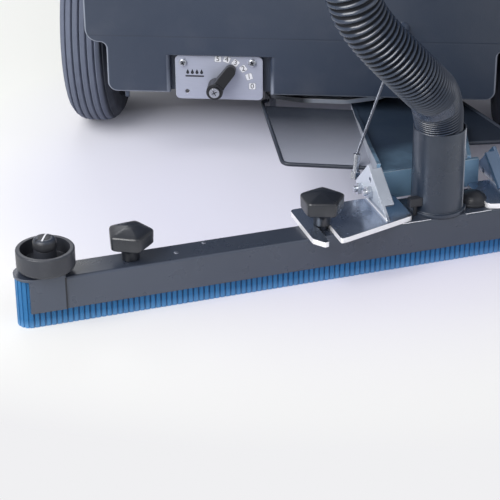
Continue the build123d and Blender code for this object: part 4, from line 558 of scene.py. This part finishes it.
def dress_nodes():
    for coat, *names in NODE_COATS:
        for name in names:
            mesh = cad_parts[name].data
            mesh.materials.clear()
            mesh.materials.append(coat.material)


# Mesh helpers: places are in metres, and all sizes, profiles and outlines in millimetres

WELD = 1e-6
SMOOTH_DEG = 35.0
PRINT_THICK = 0.12
CORNER_STEPS = 5
DROP_STEPS = 10
DROP_FROM_DEG, DROP_SWEEP_DEG = 30, 240


def link(name, data):
    """A new object in the scene."""
    made = bpy.data.objects.new(name, data)
    bpy.context.scene.collection.objects.link(made)
    return made


def add_piece(name, mesh, coats, body):
    """Link a mesh as a piece with its coats, and let it ride on a body."""
    for coat in coats:
        mesh.materials.append(coat.material)
    made = link(name, mesh)
    if body:
        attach(made, body)
    return made


def piece_from(name, bm, coats, body, smooth_deg=SMOOTH_DEG):
    """Make a piece of a bmesh, smooth except over sharp edges."""
    bmesh.ops.remove_doubles(bm, verts=bm.verts, dist=WELD)
    bmesh.ops.recalc_face_normals(bm, faces=bm.faces)
    mesh = bpy.data.meshes.new(name)
    bm.to_mesh(mesh)
    bm.free()
    mesh.shade_smooth()
    mesh.set_sharp_from_angle(angle=radians(smooth_deg))
    return add_piece(name, mesh, coats, body)


def axes_at(place, across, up):
    """The matrix that turns X and Y to two unit vectors and the origin to a place."""
    return Matrix.Translation(place) @ Matrix((across, up, across.cross(up))).transposed().to_4x4()


def turned(across, up, turn):
    """The first of two unit vectors, turned towards the second."""
    return across * cos(turn) + up * sin(turn)


def clamped(share, low=0.0):
    return min(1.0, max(low, share))


def ring(bm, centre, across, up, radius, sides):
    """A ring of vertices round a centre, in the plane of two unit vectors."""
    turns = [tau * side / sides for side in range(sides)]
    return [bm.verts.new(centre + turned(across, up, turn) * (radius * MM)) for turn in turns]


def bridge(bm, rings):
    """Faces between rings of equal counts, one after the other."""
    faces = []
    for first, second in zip(rings, rings[1:]):
        for side in range(len(first)):
            after = (side + 1) % len(first)
            faces.append(bm.faces.new((first[side], first[after], second[after], second[side])))
    return faces


def solid(bm, rings):
    """Faces between rings, and one over each end."""
    bridge(bm, rings)
    bm.faces.new(rings[0])
    bm.faces.new(rings[-1])


def square_to(way):
    """Two unit vectors square to a unit direction."""
    across = way.cross(UP if abs(way.z) < 0.9 else RIGHT).normalized()
    return across, way.cross(across).normalized()


def lathe(bm, base, way, profile, sides):
    """Revolve (height, radius) points about a line from base along way."""
    across, up = square_to(way)
    solid(bm, [ring(bm, base + way * (rise * MM), across, up, radius, sides) for rise, radius in profile])


def slab(bm, outline, place, across, up, thick):
    """A flat slab of an outline of (across, up) points, standing off its plane."""
    out = across.cross(up).normalized() * (thick * MM)
    foot = [place + across * (x * MM) + up * (y * MM) for x, y in outline]
    solid(bm, [[bm.verts.new(point) for point in foot], [bm.verts.new(point + out) for point in foot]])


def flat_ring(bm, place, across, up, radius, width, thick, sides=48):
    """A flat printed ring round a place."""
    out = across.cross(up)
    rims = ((radius, 0), (radius + width, 0), (radius + width, thick), (radius, thick))
    loops = [ring(bm, place + out * (lift * MM), across, up, reach, sides) for reach, lift in rims]
    bridge(bm, loops + loops[:1])


def rounded_box(width, height, radius):
    """A rectangle with round corners, centred on the origin."""
    points = []
    for x, y, first in ((1, 1, 0), (-1, 1, 90), (-1, -1, 180), (1, -1, 270)):
        for step in range(CORNER_STEPS + 1):
            turn = radians(first + 90 * step / CORNER_STEPS)
            points.append((x * (width / 2 - radius) + radius * cos(turn),
                           y * (height / 2 - radius) + radius * sin(turn)))
    return points


def drop_outline(width, height):
    """A drop with a round foot on the origin and a point at the top."""
    radius = width / 2
    points = [(0, height)]
    for step in range(DROP_STEPS + 1):
        turn = radians(DROP_FROM_DEG - DROP_SWEEP_DEG * step / DROP_STEPS)
        points.append((radius * cos(turn), radius + radius * sin(turn)))
    return points


def printed(name, character, size, place, across, up):
    """A flat printed character about a place, on the plane of two unit vectors."""
    text = bpy.data.curves.new(name, "FONT")
    text.body = character
    text.size = size * MM
    text.align_x = text.align_y = "CENTER"
    text.extrude = PRINT_THICK * MM
    holder = bpy.data.objects.new(name, text)
    mesh = bpy.data.meshes.new_from_object(holder)
    bpy.data.objects.remove(holder)
    bpy.data.curves.remove(text)
    mesh.transform(axes_at(place, across, up))
    add_piece(name, mesh, (DARK_INK,), "machine")


# Suction hose and lift cable

HOSE_R = 23.4
HOSE_SNUG_R = 22.3
HOSE_BORE_R = 17.0
HOSE_SIDES = 64
HOSE_SMOOTH_DEG = 60
CUFF_U = -5.0
CUFF_V = -8.0
CUFF_TOP = 129.0
HOSE_FOOT = (CUFF_U, CUFF_V, 98.0)
HOSE_RISE = (CUFF_U, CUFF_V, 154.0)
HOSE_BEND = ((119, -345, 190), (66, -368, 252), (55, -377, 291), (34, -383, 341))
COUPLING_LENGTH = 60.0
COUPLING_LEAD = 75.0
HOSE_TOP = ((-46, -392, 508), (-46, -345, 552), (-36, -280, 570), (-25, -222, 575), (-25, -146, 575))
SPLINE_STEPS = 40
BORE_STEPS = 40
BEND_HALF = 0.006

# One rib as (share of its pitch, share of its depth), and the strips of it in the valley, which take
# painted shade
RIB_SHAPE = ((0.0, 1.0), (0.12, 0.88), (0.25, 0.5), (0.37, 0.13), (0.5, 0.0), (0.63, 0.13), (0.75, 0.5),
             (0.88, 0.88))
VALLEY_STRIPS = (0, 1, 6, 7)
RIB_DEPTH = 0.85
DEEPEST_RIB = 3.4

# The bend above the cuff, where the ribs on the inner side press together
PRESSED_FROM = 52.0
PRESSED_TO = 108.0
PRESSED_FADE = 10.0
LEAST_ROOM = 0.2
CLOSED_PITCH = 3.0
CLOSED_DEPTH = 0.12
CLOSING_STEEPNESS = 2.0
HALF_OPEN = 0.5

# Where the hose swells above the cuff, and how far its ribs are drawn out
HOSE_SWELL = 14.0
SNUG_THROUGHOUT = 1000.0
PITCH_IN_CUFF = 3.4
PITCH_DRAWN_OUT = 6.6
PITCH_STARTS = 84.0
PITCH_ENDS = 200.0
UPPER_PITCH_LOSS = 0.004
LAST_RIB = 1.5

GLAND_TIP = (96.8, -147.3, 147.3)
FERRULE_TOP = (62.5, -256.5, 78.5)
CABLE_SPLIT = 0.45
CABLE_R = 1.5
CABLE_SMOOTH_DEG = 80
STRANDS = 6
STRAND_R = CABLE_R / 3
STRAND_SIDES = 6
STRAND_STEP = 0.75
LAY_LENGTH = 9.0


def smooth_line(route):
    """Points of the smooth spline that has the route's points as its control points."""
    curve = bpy.data.curves.new("route", "CURVE")
    curve.dimensions = "3D"
    curve.resolution_u = SPLINE_STEPS
    spline = curve.splines.new("NURBS")
    spline.points.add(len(route) - 1)
    for point, place in zip(spline.points, route):
        point.co = (*place, 1.0)
    spline.order_u = 3
    spline.use_endpoint_u = True
    holder = bpy.data.objects.new("route", curve)
    mesh = bpy.data.meshes.new_from_object(holder)
    line = [vertex.co.copy() for vertex in mesh.vertices]
    bpy.data.objects.remove(holder)
    bpy.data.meshes.remove(mesh)
    bpy.data.curves.remove(curve)
    return line


class Path:
    """A line of points, with its place, direction and bend by the distance along it."""

    def __init__(self, line):
        self.line = line
        self.far = [0.0]
        for first, second in zip(line, line[1:]):
            self.far.append(self.far[-1] + (second - first).length)
        self.length = self.far[-1]
        across = square_to((line[1] - line[0]).normalized())[0]
        self.frames = []
        for before, after in zip(line[:1] + line, line[1:] + line[-1:]):
            way = (after - before).normalized()
            across = (across - way * across.dot(way)).normalized()
            self.frames.append((way, across))

    def place(self, distance):
        """Centre, across and up at a distance along the line."""
        distance = min(max(distance, 0.0), self.length)
        index = max(bisect_left(self.far, distance) - 1, 0)
        share = (distance - self.far[index]) / (self.far[index + 1] - self.far[index])
        way, across = (first.lerp(second, share) for first, second in zip(*self.frames[index:index + 2]))
        way.normalize()
        across = (across - way * across.dot(way)).normalized()
        return self.line[index].lerp(self.line[index + 1], share), across, way.cross(across)

    def bend(self, distance):
        """How sharply the line turns there: a vector towards the inside, per metre."""
        ways = []
        for near in (distance - BEND_HALF, distance + BEND_HALF):
            _, across, up = self.place(near)
            ways.append(across.cross(up))
        return (ways[1] - ways[0]) / (2 * BEND_HALF)


def rib_ring(bm, path, distance, radius, drop, pitch):
    """One ring of a rib, shallower where a bend presses the ribs, and its sides that are open."""
    centre, across, up = path.place(distance)
    bend = path.bend(distance)
    into_bend = clamped((distance / MM - PRESSED_FROM) / PRESSED_FADE)
    pressed = into_bend * clamped((PRESSED_TO - distance / MM) / PRESSED_FADE)
    made = []
    open_sides = []
    for side in range(HOSE_SIDES):
        out = turned(across, up, tau * side / HOSE_SIDES)
        room = pitch * max(LEAST_ROOM, 1 - bend.dot(out) * radius)
        parted = clamped(CLOSING_STEEPNESS * (room / MM - CLOSED_PITCH) + HALF_OPEN, CLOSED_DEPTH)
        parted = 1 - pressed * (1 - parted)
        depth = min(RIB_DEPTH * room, DEEPEST_RIB * MM) * parted
        made.append(bm.verts.new(centre + out * (radius - drop * depth)))
        open_sides.append(parted > HALF_OPEN)
    return made, open_sides


def ribbed_hose(name, route, pitch_at, snug_until):
    """A stretch hose with round ribs, whose pitch follows how far it is drawn out."""
    path = Path(smooth_line(route))
    bm = bmesh.new()
    rings = []
    distance = 0.0
    while distance < path.length - WELD:
        pitch = pitch_at(distance / MM) * MM
        if path.length - distance < LAST_RIB * pitch:
            pitch = path.length - distance
        swell = clamped((distance / MM - snug_until) / HOSE_SWELL)
        radius = (HOSE_SNUG_R + (HOSE_R - HOSE_SNUG_R) * swell) * MM
        for share, drop in RIB_SHAPE:
            rings.append(rib_ring(bm, path, distance + share * pitch, radius, drop, pitch))
        distance += pitch
    rings.append(rib_ring(bm, path, path.length, radius, 1.0, pitch))
    for index, ((first, opened), (second, _)) in enumerate(zip(rings, rings[1:])):
        for face, is_open in zip(bridge(bm, [first, second]), opened):
            # Valley strips of open ribs take the painted valley shade
            face.material_index = int(is_open and index % len(RIB_SHAPE) in VALLEY_STRIPS)
    bore = []
    for step in range(BORE_STEPS + 1):
        place = path.place(path.length * (1 - step / BORE_STEPS))
        bore.append(ring(bm, *place, HOSE_BORE_R, HOSE_SIDES))
    bridge(bm, [rings[-1][0]] + bore + [rings[0][0]])
    return piece_from(name, bm, (HOSE, HOSE_VALLEY_SHADE), None, HOSE_SMOOTH_DEG), path


def lower_pitch(distance):
    """Pitch of the ribs: close in the cuff, drawn out towards the coupling."""
    share = clamped((distance - PITCH_STARTS) / (PITCH_ENDS - PITCH_STARTS))
    return PITCH_IN_CUFF + (PITCH_DRAWN_OUT - PITCH_IN_CUFF) * share


def upper_pitch(distance):
    return PITCH_DRAWN_OUT - UPPER_PITCH_LOSS * distance


def make_hoses():
    lower_route = [on_squeegee(*HOSE_FOOT), on_squeegee(*HOSE_RISE)] + [at(*point) for point in HOSE_BEND]
    way = (lower_route[-1] - lower_route[-2]).normalized()
    start = lower_route[-1] + way * COUPLING_LENGTH * MM
    upper_route = [start, start + way * COUPLING_LEAD * MM] + [at(*point) for point in HOSE_TOP]
    cuff_rim = on_squeegee(CUFF_U, CUFF_V, CUFF_TOP)
    in_cuff = (cuff_rim - lower_route[0]).length / MM
    lower, lower_path = ribbed_hose("vacuum_hose_lower_ribs", lower_route, lower_pitch, in_cuff)
    upper, upper_path = ribbed_hose("vacuum_hose_upper_ribs", upper_route, upper_pitch, SNUG_THROUGHOUT)
    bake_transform(lower)
    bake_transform(upper)
    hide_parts("vacuum_hose_lower")
    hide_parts("vacuum_hose_upper")


def wire_rope(name, route):
    """A steel rope of strands laid round a line."""
    path = Path(smooth_line(route))
    bm = bmesh.new()
    steps = int(path.length / (STRAND_STEP * MM))
    for strand in range(STRANDS):
        rings = []
        for step in range(steps + 1):
            distance = path.length * step / steps
            centre, across, up = path.place(distance)
            turn = tau * (strand / STRANDS + distance / (LAY_LENGTH * MM))
            out, side = turned(across, up, turn), turned(up, -across, turn)
            rings.append(ring(bm, centre + out * (2 * STRAND_R * MM), out, side, STRAND_R, STRAND_SIDES))
        solid(bm, rings)
    return piece_from(name, bm, (ROPE,), None, CABLE_SMOOTH_DEG), path


def make_lift_cable():
    gland, ferrule = at(*GLAND_TIP), at(*FERRULE_TOP)
    joint = gland.lerp(ferrule, CABLE_SPLIT)
    upper_route = [gland, gland.lerp(joint, 0.5), joint]
    lower_route = [joint, joint.lerp(ferrule, 0.5), ferrule]
    upper, upper_path = wire_rope("lift_cable_upper_strands", upper_route)
    lower, lower_path = wire_rope("lift_cable_lower_strands", lower_route)
    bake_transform(upper)
    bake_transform(lower)
    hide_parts("lift_cable_upper")
    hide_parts("lift_cable_lower")


# Disc brushes

BRUSH_X = 140.0
BRUSH_Y = 430.0
BRUSH_PROFILE = ((40, 134), (53, 134), (56.5, 132.5), (58, 129), (58, 40), (74, 40), (74, 10), (140, 10))
BRUSH_SIDES = 72
TUFT_RINGS = ((58.0, 26), (78.0, 34), (98.0, 44), (118.0, 52))
TUFT_TOP = 41.0
TUFT_R = 1.6
FILAMENTS = 7
FILAMENT_R = 0.85
FILAMENT_TIP = 0.8
FILAMENT_LEAN = 1.3
FILAMENT_SIDES = 4


def make_brush(side, name, body):
    """A disc with its hub and shaft, and tufts of stiff fibre that stand on the floor."""
    bm = bmesh.new()
    centre = at(side * BRUSH_X, BRUSH_Y, 0)
    lathe(bm, centre, UP, BRUSH_PROFILE, BRUSH_SIDES)
    disc = piece_from(name + "_disc", bm, (BLACK,), body)
    bm = bmesh.new()
    for radius, count in TUFT_RINGS:
        for tuft in range(count):
            turn = tau * tuft / count
            root = centre + turned(RIGHT, FORWARD, turn) * (radius * MM)
            for filament in range(FILAMENTS):
                spin = tau * filament / (FILAMENTS - 1) + turn
                out = turned(RIGHT, FORWARD, spin) * min(filament, 1)
                foot = root + out * ((TUFT_R + FILAMENT_LEAN) * MM)
                head = root + out * (TUFT_R * MM) + UP * (TUFT_TOP * MM)
                solid(bm, [ring(bm, foot, RIGHT, FORWARD, FILAMENT_R * FILAMENT_TIP, FILAMENT_SIDES),
                           ring(bm, head, RIGHT, FORWARD, FILAMENT_R, FILAMENT_SIDES)])
    tufts = piece_from(name + "_tufts", bm, (FIBRE,), body)
    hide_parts(name)
    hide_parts(name)


# Knobs: five corners with flat sides between, domed on top and tapered below

BAR_TOP = 47.0
PLATE_TOP = 52.0
KNOB_V = -17.0
KNOB_SEAT = 0.5
KNOB_R = 21.4
KNOB_CORNER_R = 22.2
KNOB_CORNERS = 5
CORNER_SHARPNESS = 24
KNOB_SIDES = 120
KNOB_SMOOTH_DEG = 40

# Knobs on each side: name, place along the squeegee, what it stands on, and the turn of its corners
KNOBS = (("outer", 303.0, BAR_TOP, radians(29)), ("inner", 122.5, PLATE_TOP, radians(20)))

# Levels of a knob: height, radius, and how far the outline is five-cornered
KNOB_LEVELS = ((0, 7.8, 0.0), (7, 8.2, 0.0), (10, 9.5, 0.1), (12.4, 15.5, 0.8), (13.6, 19.6, 1.0),
               (14.8, 21.0, 1.0), (25.4, 21.4, 1.0), (26.6, 20.8, 1.0), (27.4, 19.6, 1.0),
               (28.8, 14.8, 0.97), (30.2, 9.0, 0.9), (31.2, 4.0, 0.6), (31.4, 1.0, 0.0))


def knob_reach(turn):
    """Distance from a knob's middle to its outline, by the angle from a corner."""
    half_side = pi / KNOB_CORNERS
    off_side = (turn % (2 * half_side)) - half_side
    flat = KNOB_CORNER_R * cos(half_side) / cos(off_side)
    return (flat ** -CORNER_SHARPNESS + KNOB_R ** -CORNER_SHARPNESS) ** (-1 / CORNER_SHARPNESS)


def make_knob(name, body, u, seat, corner_turn):
    bm = bmesh.new()
    rings = []
    for height, radius, star in KNOB_LEVELS:
        centre = on_squeegee(u, KNOB_V, seat + KNOB_SEAT + height)
        made = []
        for side in range(KNOB_SIDES):
            turn = tau * side / KNOB_SIDES
            reach = radius * (1 - star + star * knob_reach(turn - corner_turn) / KNOB_R)
            made.append(bm.verts.new(centre + turned(AHEAD, ALONG, turn) * (reach * MM)))
        rings.append(made)
    solid(bm, rings)
    knob = piece_from(name + "_star", bm, (KNOB,), body, KNOB_SMOOTH_DEG)
    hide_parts(name)


def make_knobs():
    for side, sign in (("left", -1), ("right", 1)):
        for row, u, seat, corner_turn in KNOBS:
            make_knob(f"{side}_{row}_knob", f"{side}_{row}_star", sign * u, seat, corner_turn)


# Small pieces on the squeegee: screws, cap joints, painted highlights on an edge and in slots, a plug and a
# hose clip

ROLLER_U = 379.5
ROLLER_V = -18.0
SCREW_FOOT = 71.7
SCREW_DOME = ((0, 10.6), (5.6, 10.6), (7.6, 9.6), (9.0, 7.4), (9.6, 4.0), (9.7, 0.5))
SLOT_OUTLINE = ((-7.4, 7.0), (7.4, 7.0), (7.4, 9.35), (4.0, 9.95), (0, 10.05), (-4.0, 9.95), (-7.4, 9.35))
SLOT_WIDTH = 1.4
SLOT_WAY = turned(ALONG, AHEAD, radians(62))
BAR_HALF = 366.0
BAR_REAR = -33.0
BAR_BOTTOM = 16.0
JOINT_BOX = (1.4, BAR_TOP - BAR_BOTTOM, 0.3)
JOINT_V = BAR_REAR - 1.0
JOINT_THICK = 0.15
BAR_SCREWS = ((-262, -20), (-233, -9), (233, -9), (262, -20))
BAR_SCREW = ((0, 2.4), (0.5, 2.2), (0.9, 1.2))
PLUG_AT = (31, -11, BAR_TOP)
PLUG_PROFILE = ((0, 14.0), (2, 14.0), (2.4, 13.0), (6, 12.2), (9, 9.5), (11, 5.0), (11.6, 0.5))
CLIP_AT = (-31.5, -18.5)
CLIP = ((13, 7, 57, 65), (3.5, 3.5, 47, 57))
CLIP_CORNER = 1.2
# Painted highlight strips on the bar's top rear edge: their ends along it, and how they sit
BAR_HIGHLIGHT_STRIPS = ((-49, -21), (14, 40))
BAR_HIGHLIGHT_V = BAR_REAR + 0.5
BAR_HIGHLIGHT_WIDTH, BAR_HIGHLIGHT_CORNER, BAR_HIGHLIGHT_THICK = 0.9, 0.2, 0.2


def make_squeegee_trim():
    domes, slots, joints, screws, plug, clip, worn = (bmesh.new() for _ in range(7))
    for sign in (-1, 1):
        foot = on_squeegee(sign * ROLLER_U, ROLLER_V, SCREW_FOOT)
        lathe(domes, foot, UP, SCREW_DOME, sides=48)
        # A white strip along each screw's slot: a painted highlight
        start = foot - SLOT_WAY.cross(UP) * (SLOT_WIDTH / 2 * MM)
        slab(slots, SLOT_OUTLINE, start, SLOT_WAY, UP, SLOT_WIDTH)
        foot = on_squeegee(sign * BAR_HALF, JOINT_V, (BAR_TOP + BAR_BOTTOM) / 2)
        slab(joints, rounded_box(*JOINT_BOX), foot, ALONG, UP, JOINT_THICK)
    for u, v in BAR_SCREWS:
        lathe(screws, on_squeegee(u, v, BAR_TOP), UP, BAR_SCREW, sides=20)
    lathe(plug, on_squeegee(*PLUG_AT), UP, PLUG_PROFILE, sides=40)
    for across, out, low, high in CLIP:
        outline = rounded_box(across, out, CLIP_CORNER)
        slab(clip, outline, on_squeegee(*CLIP_AT, low), ALONG, AHEAD, high - low)
    # Painted highlight strips along the bar's top rear edge
    for first, last in BAR_HIGHLIGHT_STRIPS:
        outline = rounded_box(last - first, BAR_HIGHLIGHT_WIDTH, BAR_HIGHLIGHT_CORNER)
        slab(worn, outline, on_squeegee((first + last) / 2, BAR_HIGHLIGHT_V, BAR_TOP), ALONG, AHEAD, BAR_HIGHLIGHT_THICK)
    for name, bm, coat, slot in (
        ("bar_edge_highlight", worn, WHITE_INK, "bar_metal"),
        ("roller_screw_domes", domes, BLACK, "dark_steel"),
        ("roller_screw_slot_highlights", slots, WHITE_INK, "bright_steel"),
        ("end_cap_joints", joints, DARK_INK, "bar_metal"),
        ("bar_screws", screws, ROPE, "bright_steel"),
        ("bar_plug", plug, BLACK, "soft_rubber"),
        ("hose_clip", clip, BLACK, "black_plastic"),
    ):
        piece_from(name, bm, (coat,), "squeegee")


# Sloped control panel and handle: gauge, signs, screws and grip rings

PANEL_MID = (0, -264, 972)
PANEL_SLOPE = Vector((0, 144, 56)).normalized()
PANEL_OUT = RIGHT.cross(PANEL_SLOPE)
PANEL_FACE = 4.0
KEY_X = -105.0
BUTTON_XS = (40.0, 100.0)
GAUGE_X = -30.0
GAUGE_RISE = 10
GAUGE_BOX = (49, 19, 2.5)
GAUGE_THICK = 0.8
LIGHT_STEP = 8.4
LIGHT_OUT = 0.7
LIGHT_PROFILE = ((0, 2.4), (0.8, 2.2), (1.4, 1.0))
SIGN_RINGS = ((KEY_X, 15.0), (BUTTON_XS[0], 16.0), (BUTTON_XS[1], 16.0))
SIGN_RING_WIDTH = 1.2
KEY_MARKS = (("0", KEY_X - 22), ("1", KEY_X + 22))
KEY_MARK_SIZE = 10
PANEL_SCREW_X = 138
PANEL_SCREW_RISE = 38
PANEL_SCREW = ((0, 4), (1.2, 3.6), (2, 1.5))
HANDLE_BACK = (-424.0, 912.0)
GRIP_START = 16.0
GRIP_RINGS = 11
GRIP_PITCH = 6.4
GRIP_RING = ((0, 16.5), (0.5, 17.7), (2.2, 17.7), (2.7, 16.5))

# Signs over the buttons, a brush and drops: outline, height up the slope, and places across it
PANEL_SIGNS = (
    (rounded_box(1.2, 6, 0.4), 29, (34, 37, 40, 43, 46)),
    (rounded_box(16, 2, 0.5), 33, BUTTON_XS),
    (drop_outline(3.4, 6.0), 24.5, (95, 100, 105)),
)


def on_panel(x, rise, out=0.0):
    """A place on the panel's face: across it, up its slope and off it, in millimetres."""
    return at(*PANEL_MID) + (RIGHT * x + PANEL_SLOPE * rise + PANEL_OUT * (PANEL_FACE + out)) * MM


def panel_print(bm, outline, x, rise, thick=PRINT_THICK):
    slab(bm, outline, on_panel(x, rise), RIGHT, PANEL_SLOPE, thick)


def make_panel():
    window, signs, screws, rings = (bmesh.new() for _ in range(4))
    panel_print(window, rounded_box(*GAUGE_BOX), GAUGE_X, GAUGE_RISE, GAUGE_THICK)
    piece_from("gauge_window", window, (GLASS,), "machine")
    lights = (RED_INK, AMBER_INK, AMBER_INK, GREEN_INK, GREEN_INK)
    for light, coat in enumerate(lights):
        lamp = bmesh.new()
        x = GAUGE_X + (light - (len(lights) - 1) / 2) * LIGHT_STEP
        lathe(lamp, on_panel(x, GAUGE_RISE, LIGHT_OUT), PANEL_OUT, LIGHT_PROFILE, sides=24)
        piece_from(f"gauge_light_{light}", lamp, (coat,), "machine")
    for x, radius in SIGN_RINGS:
        flat_ring(signs, on_panel(x, 0), RIGHT, PANEL_SLOPE, radius, SIGN_RING_WIDTH, PRINT_THICK)
    for outline, rise, places in PANEL_SIGNS:
        for x in places:
            panel_print(signs, outline, x, rise)
    piece_from("panel_signs", signs, (DARK_INK,), "machine")
    for text, x in KEY_MARKS:
        printed("key_mark_" + text, text, KEY_MARK_SIZE, on_panel(x, 0), RIGHT, PANEL_SLOPE)
    for x in (-PANEL_SCREW_X, PANEL_SCREW_X):
        for rise in (-PANEL_SCREW_RISE, PANEL_SCREW_RISE):
            lathe(screws, on_panel(x, rise), PANEL_OUT, PANEL_SCREW, sides=28)
    piece_from("panel_screws", screws, (STEEL,), "machine")
    for sign in (-1, 1):
        for count in range(GRIP_RINGS):
            place = at(sign * (GRIP_START + count * GRIP_PITCH), *HANDLE_BACK)
            lathe(rings, place, RIGHT * sign, GRIP_RING, sides=40)
    piece_from("grip_rings", rings, (SOFT,), "machine")


# Water dial: printed numbers in frames, a flow sign, and dark crosses of painted shade in its screws

DIAL_PIVOT = (-85.5, 92.2)
DIAL_FACE_Y = -127.0
DIAL_RING = 36.8
DIAL_RING_DROP = 7.6
DIAL_FIRST_DEG = 0.5
DIAL_LAST_DEG = 86.0
NUMBERS = 6
NUMBER_BOX = 6.6
NUMBER_FRAME = 0.5
NUMBER_CORNER = 0.8
NUMBER_SIZE = 7.4
FRAME_THICK = PRINT_THICK / 2
UPRIGHT_FROM_DEG = 46
NUMBER_LEAN = 0.3
CROSS_TURN = radians(28)
CROSS_WIDTH, CROSS_CORNER = 1.1, 0.3
FLOW_XS = (-116.9, -98.0)
FLOW_Z = 104.4
FLOW_DROPS = 4
FLOW_DROP = (3.2, 5.4)
FLOW_LINE_DROP = 2.2
FLOW_LINE, FLOW_CORNER = 1.6, 0.3

# Screws of the dial: place, height above its face, and the length of the cross
DIAL_SCREWS = ((-119.2, 116.6, 2.4, 4.8), (-48.5, 117.9, 2.4, 4.8), (*DIAL_PIVOT, 20.8, 6.0))


def make_dial():
    boxes, frames, crosses, sign = (bmesh.new() for _ in range(4))
    for number in range(NUMBERS):
        share = number / (NUMBERS - 1)
        turn_deg = DIAL_FIRST_DEG + (DIAL_LAST_DEG - DIAL_FIRST_DEG) * share
        offset = turned(RIGHT, UP, radians(turn_deg)) * (DIAL_RING - DIAL_RING_DROP * share)
        place = at(DIAL_PIVOT[0] + offset.x, DIAL_FACE_Y, DIAL_PIVOT[1] + offset.z)
        tilt = radians(turn_deg if turn_deg < UPRIGHT_FROM_DEG else turn_deg - 90)
        across, up = turned(RIGHT, UP, tilt), turned(UP, -RIGHT, tilt)
        for made, width, thick in ((frames, NUMBER_BOX + NUMBER_FRAME, FRAME_THICK),
                                   (boxes, NUMBER_BOX, PRINT_THICK)):
            slab(made, rounded_box(width, width, NUMBER_CORNER), place, across, up, thick)
        lean = NUMBER_LEAN * tilt
        printed(f"dial_number_{number}", str(number), NUMBER_SIZE, place - FORWARD * (PRINT_THICK * MM),
                turned(RIGHT, UP, lean), turned(UP, -RIGHT, lean))
    piece_from("dial_number_boxes", boxes, (WHITE_INK,), "machine")
    piece_from("dial_number_frames", frames, (GREY_INK,), "machine")
    # Dark crosses: painted shade in the screws' cross recesses
    for x, z, off, length in DIAL_SCREWS:
        for turn in (CROSS_TURN, CROSS_TURN + pi / 2):
            way = turned(RIGHT, UP, turn)
            outline = rounded_box(length, CROSS_WIDTH, CROSS_CORNER)
            slab(crosses, outline, at(x, DIAL_FACE_Y - off, z), way, way.cross(-FORWARD), PRINT_THICK)
    piece_from("dial_screw_cross_shade", crosses, (DARK_INK,), "machine")
    first, last = FLOW_XS
    for drop in range(FLOW_DROPS):
        place = at(first + (last - first) * (drop + 0.5) / FLOW_DROPS, DIAL_FACE_Y, FLOW_Z)
        slab(sign, drop_outline(*FLOW_DROP), place, RIGHT, UP, PRINT_THICK)
    middle = at((first + last) / 2, DIAL_FACE_Y, FLOW_Z - FLOW_LINE_DROP)
    slab(sign, rounded_box(last - first, FLOW_LINE, FLOW_CORNER), middle, RIGHT, UP, PRINT_THICK)
    piece_from("dial_flow_sign", sign, (DARK_INK,), "machine")


# Camera, as the photograph was taken, light and floor

CAMERA_AT = (102.2, -1826.5, 784.1)
CAMERA_YAW = -0.0908
CAMERA_PITCH = 0.4758
CAMERA_ROLL = -0.0090
FOCAL_PIXELS = 1799.8
FRAME_PIXELS = 500
SENSOR_MM = 36.0
LAMP_TARGET = at(60, -200, 100)
FLOOR_HALF = 14.0

# Lamps: name, place, size in metres, watts and colour
LAMPS = (
    ("key", (-1500, -1900, 2100), (2.0, 2.0), 88, (1.0, 0.99, 0.98)),
    ("fill", (2200, -1500, 2300), (2.0, 2.0), 10, (0.94, 0.96, 1.0)),
    ("back", (-600, 2400, 2300), (2.0, 1.2), 24, (0.95, 0.97, 1.0)),
)


def make_camera():
    level = turned(RIGHT, -FORWARD, CAMERA_YAW)
    ahead = turned(turned(FORWARD, RIGHT, CAMERA_YAW), -UP, CAMERA_PITCH)
    upward = level.cross(ahead)
    data = bpy.data.cameras.new("camera")
    data.sensor_width = SENSOR_MM
    data.lens = FOCAL_PIXELS / FRAME_PIXELS * SENSOR_MM
    camera = link("camera", data)
    camera.matrix_world = axes_at(at(*CAMERA_AT), turned(level, upward, CAMERA_ROLL),
                                  turned(upward, -level, CAMERA_ROLL))
    bpy.context.scene.camera = camera


def make_studio():
    scene = bpy.context.scene
    scene.view_settings.view_transform = "Standard"
    scene.world = bpy.data.worlds.new("studio")
    scene.world.use_nodes = True
    sky = scene.world.node_tree.nodes["Background"]
    sky.inputs["Color"].default_value = SKY_COLOUR + (1.0,)
    sky.inputs["Strength"].default_value = SKY_STRENGTH
    for name, place, size, power, colour in LAMPS:
        data = bpy.data.lights.new(name, "AREA")
        data.shape = "RECTANGLE"
        data.size, data.size_y = size
        data.energy = power
        data.color = colour
        lamp = link(name, data)
        lamp.location = at(*place)
        lamp.rotation_mode = "QUATERNION"
        lamp.rotation_quaternion = (LAMP_TARGET - lamp.location).to_track_quat("-Z", "Y")
    mesh = bpy.data.meshes.new("floor")
    corners = ((-1, -1), (1, -1), (1, 1), (-1, 1))
    mesh.from_pydata([(x * FLOOR_HALF, y * FLOOR_HALF, 0) for x, y in corners], [], [(0, 1, 2, 3)])
    mesh.materials.append(floor_paint().material)
    floor = link("floor", mesh)


make_camera()
make_hoses()
make_lift_cable()
dress_nodes()
make_brush(-1, "left_brush", "left_brush_disc")
make_brush(1, "right_brush", "right_brush_disc")
make_knobs()
make_squeegee_trim()
make_dial()
make_panel()
make_studio()
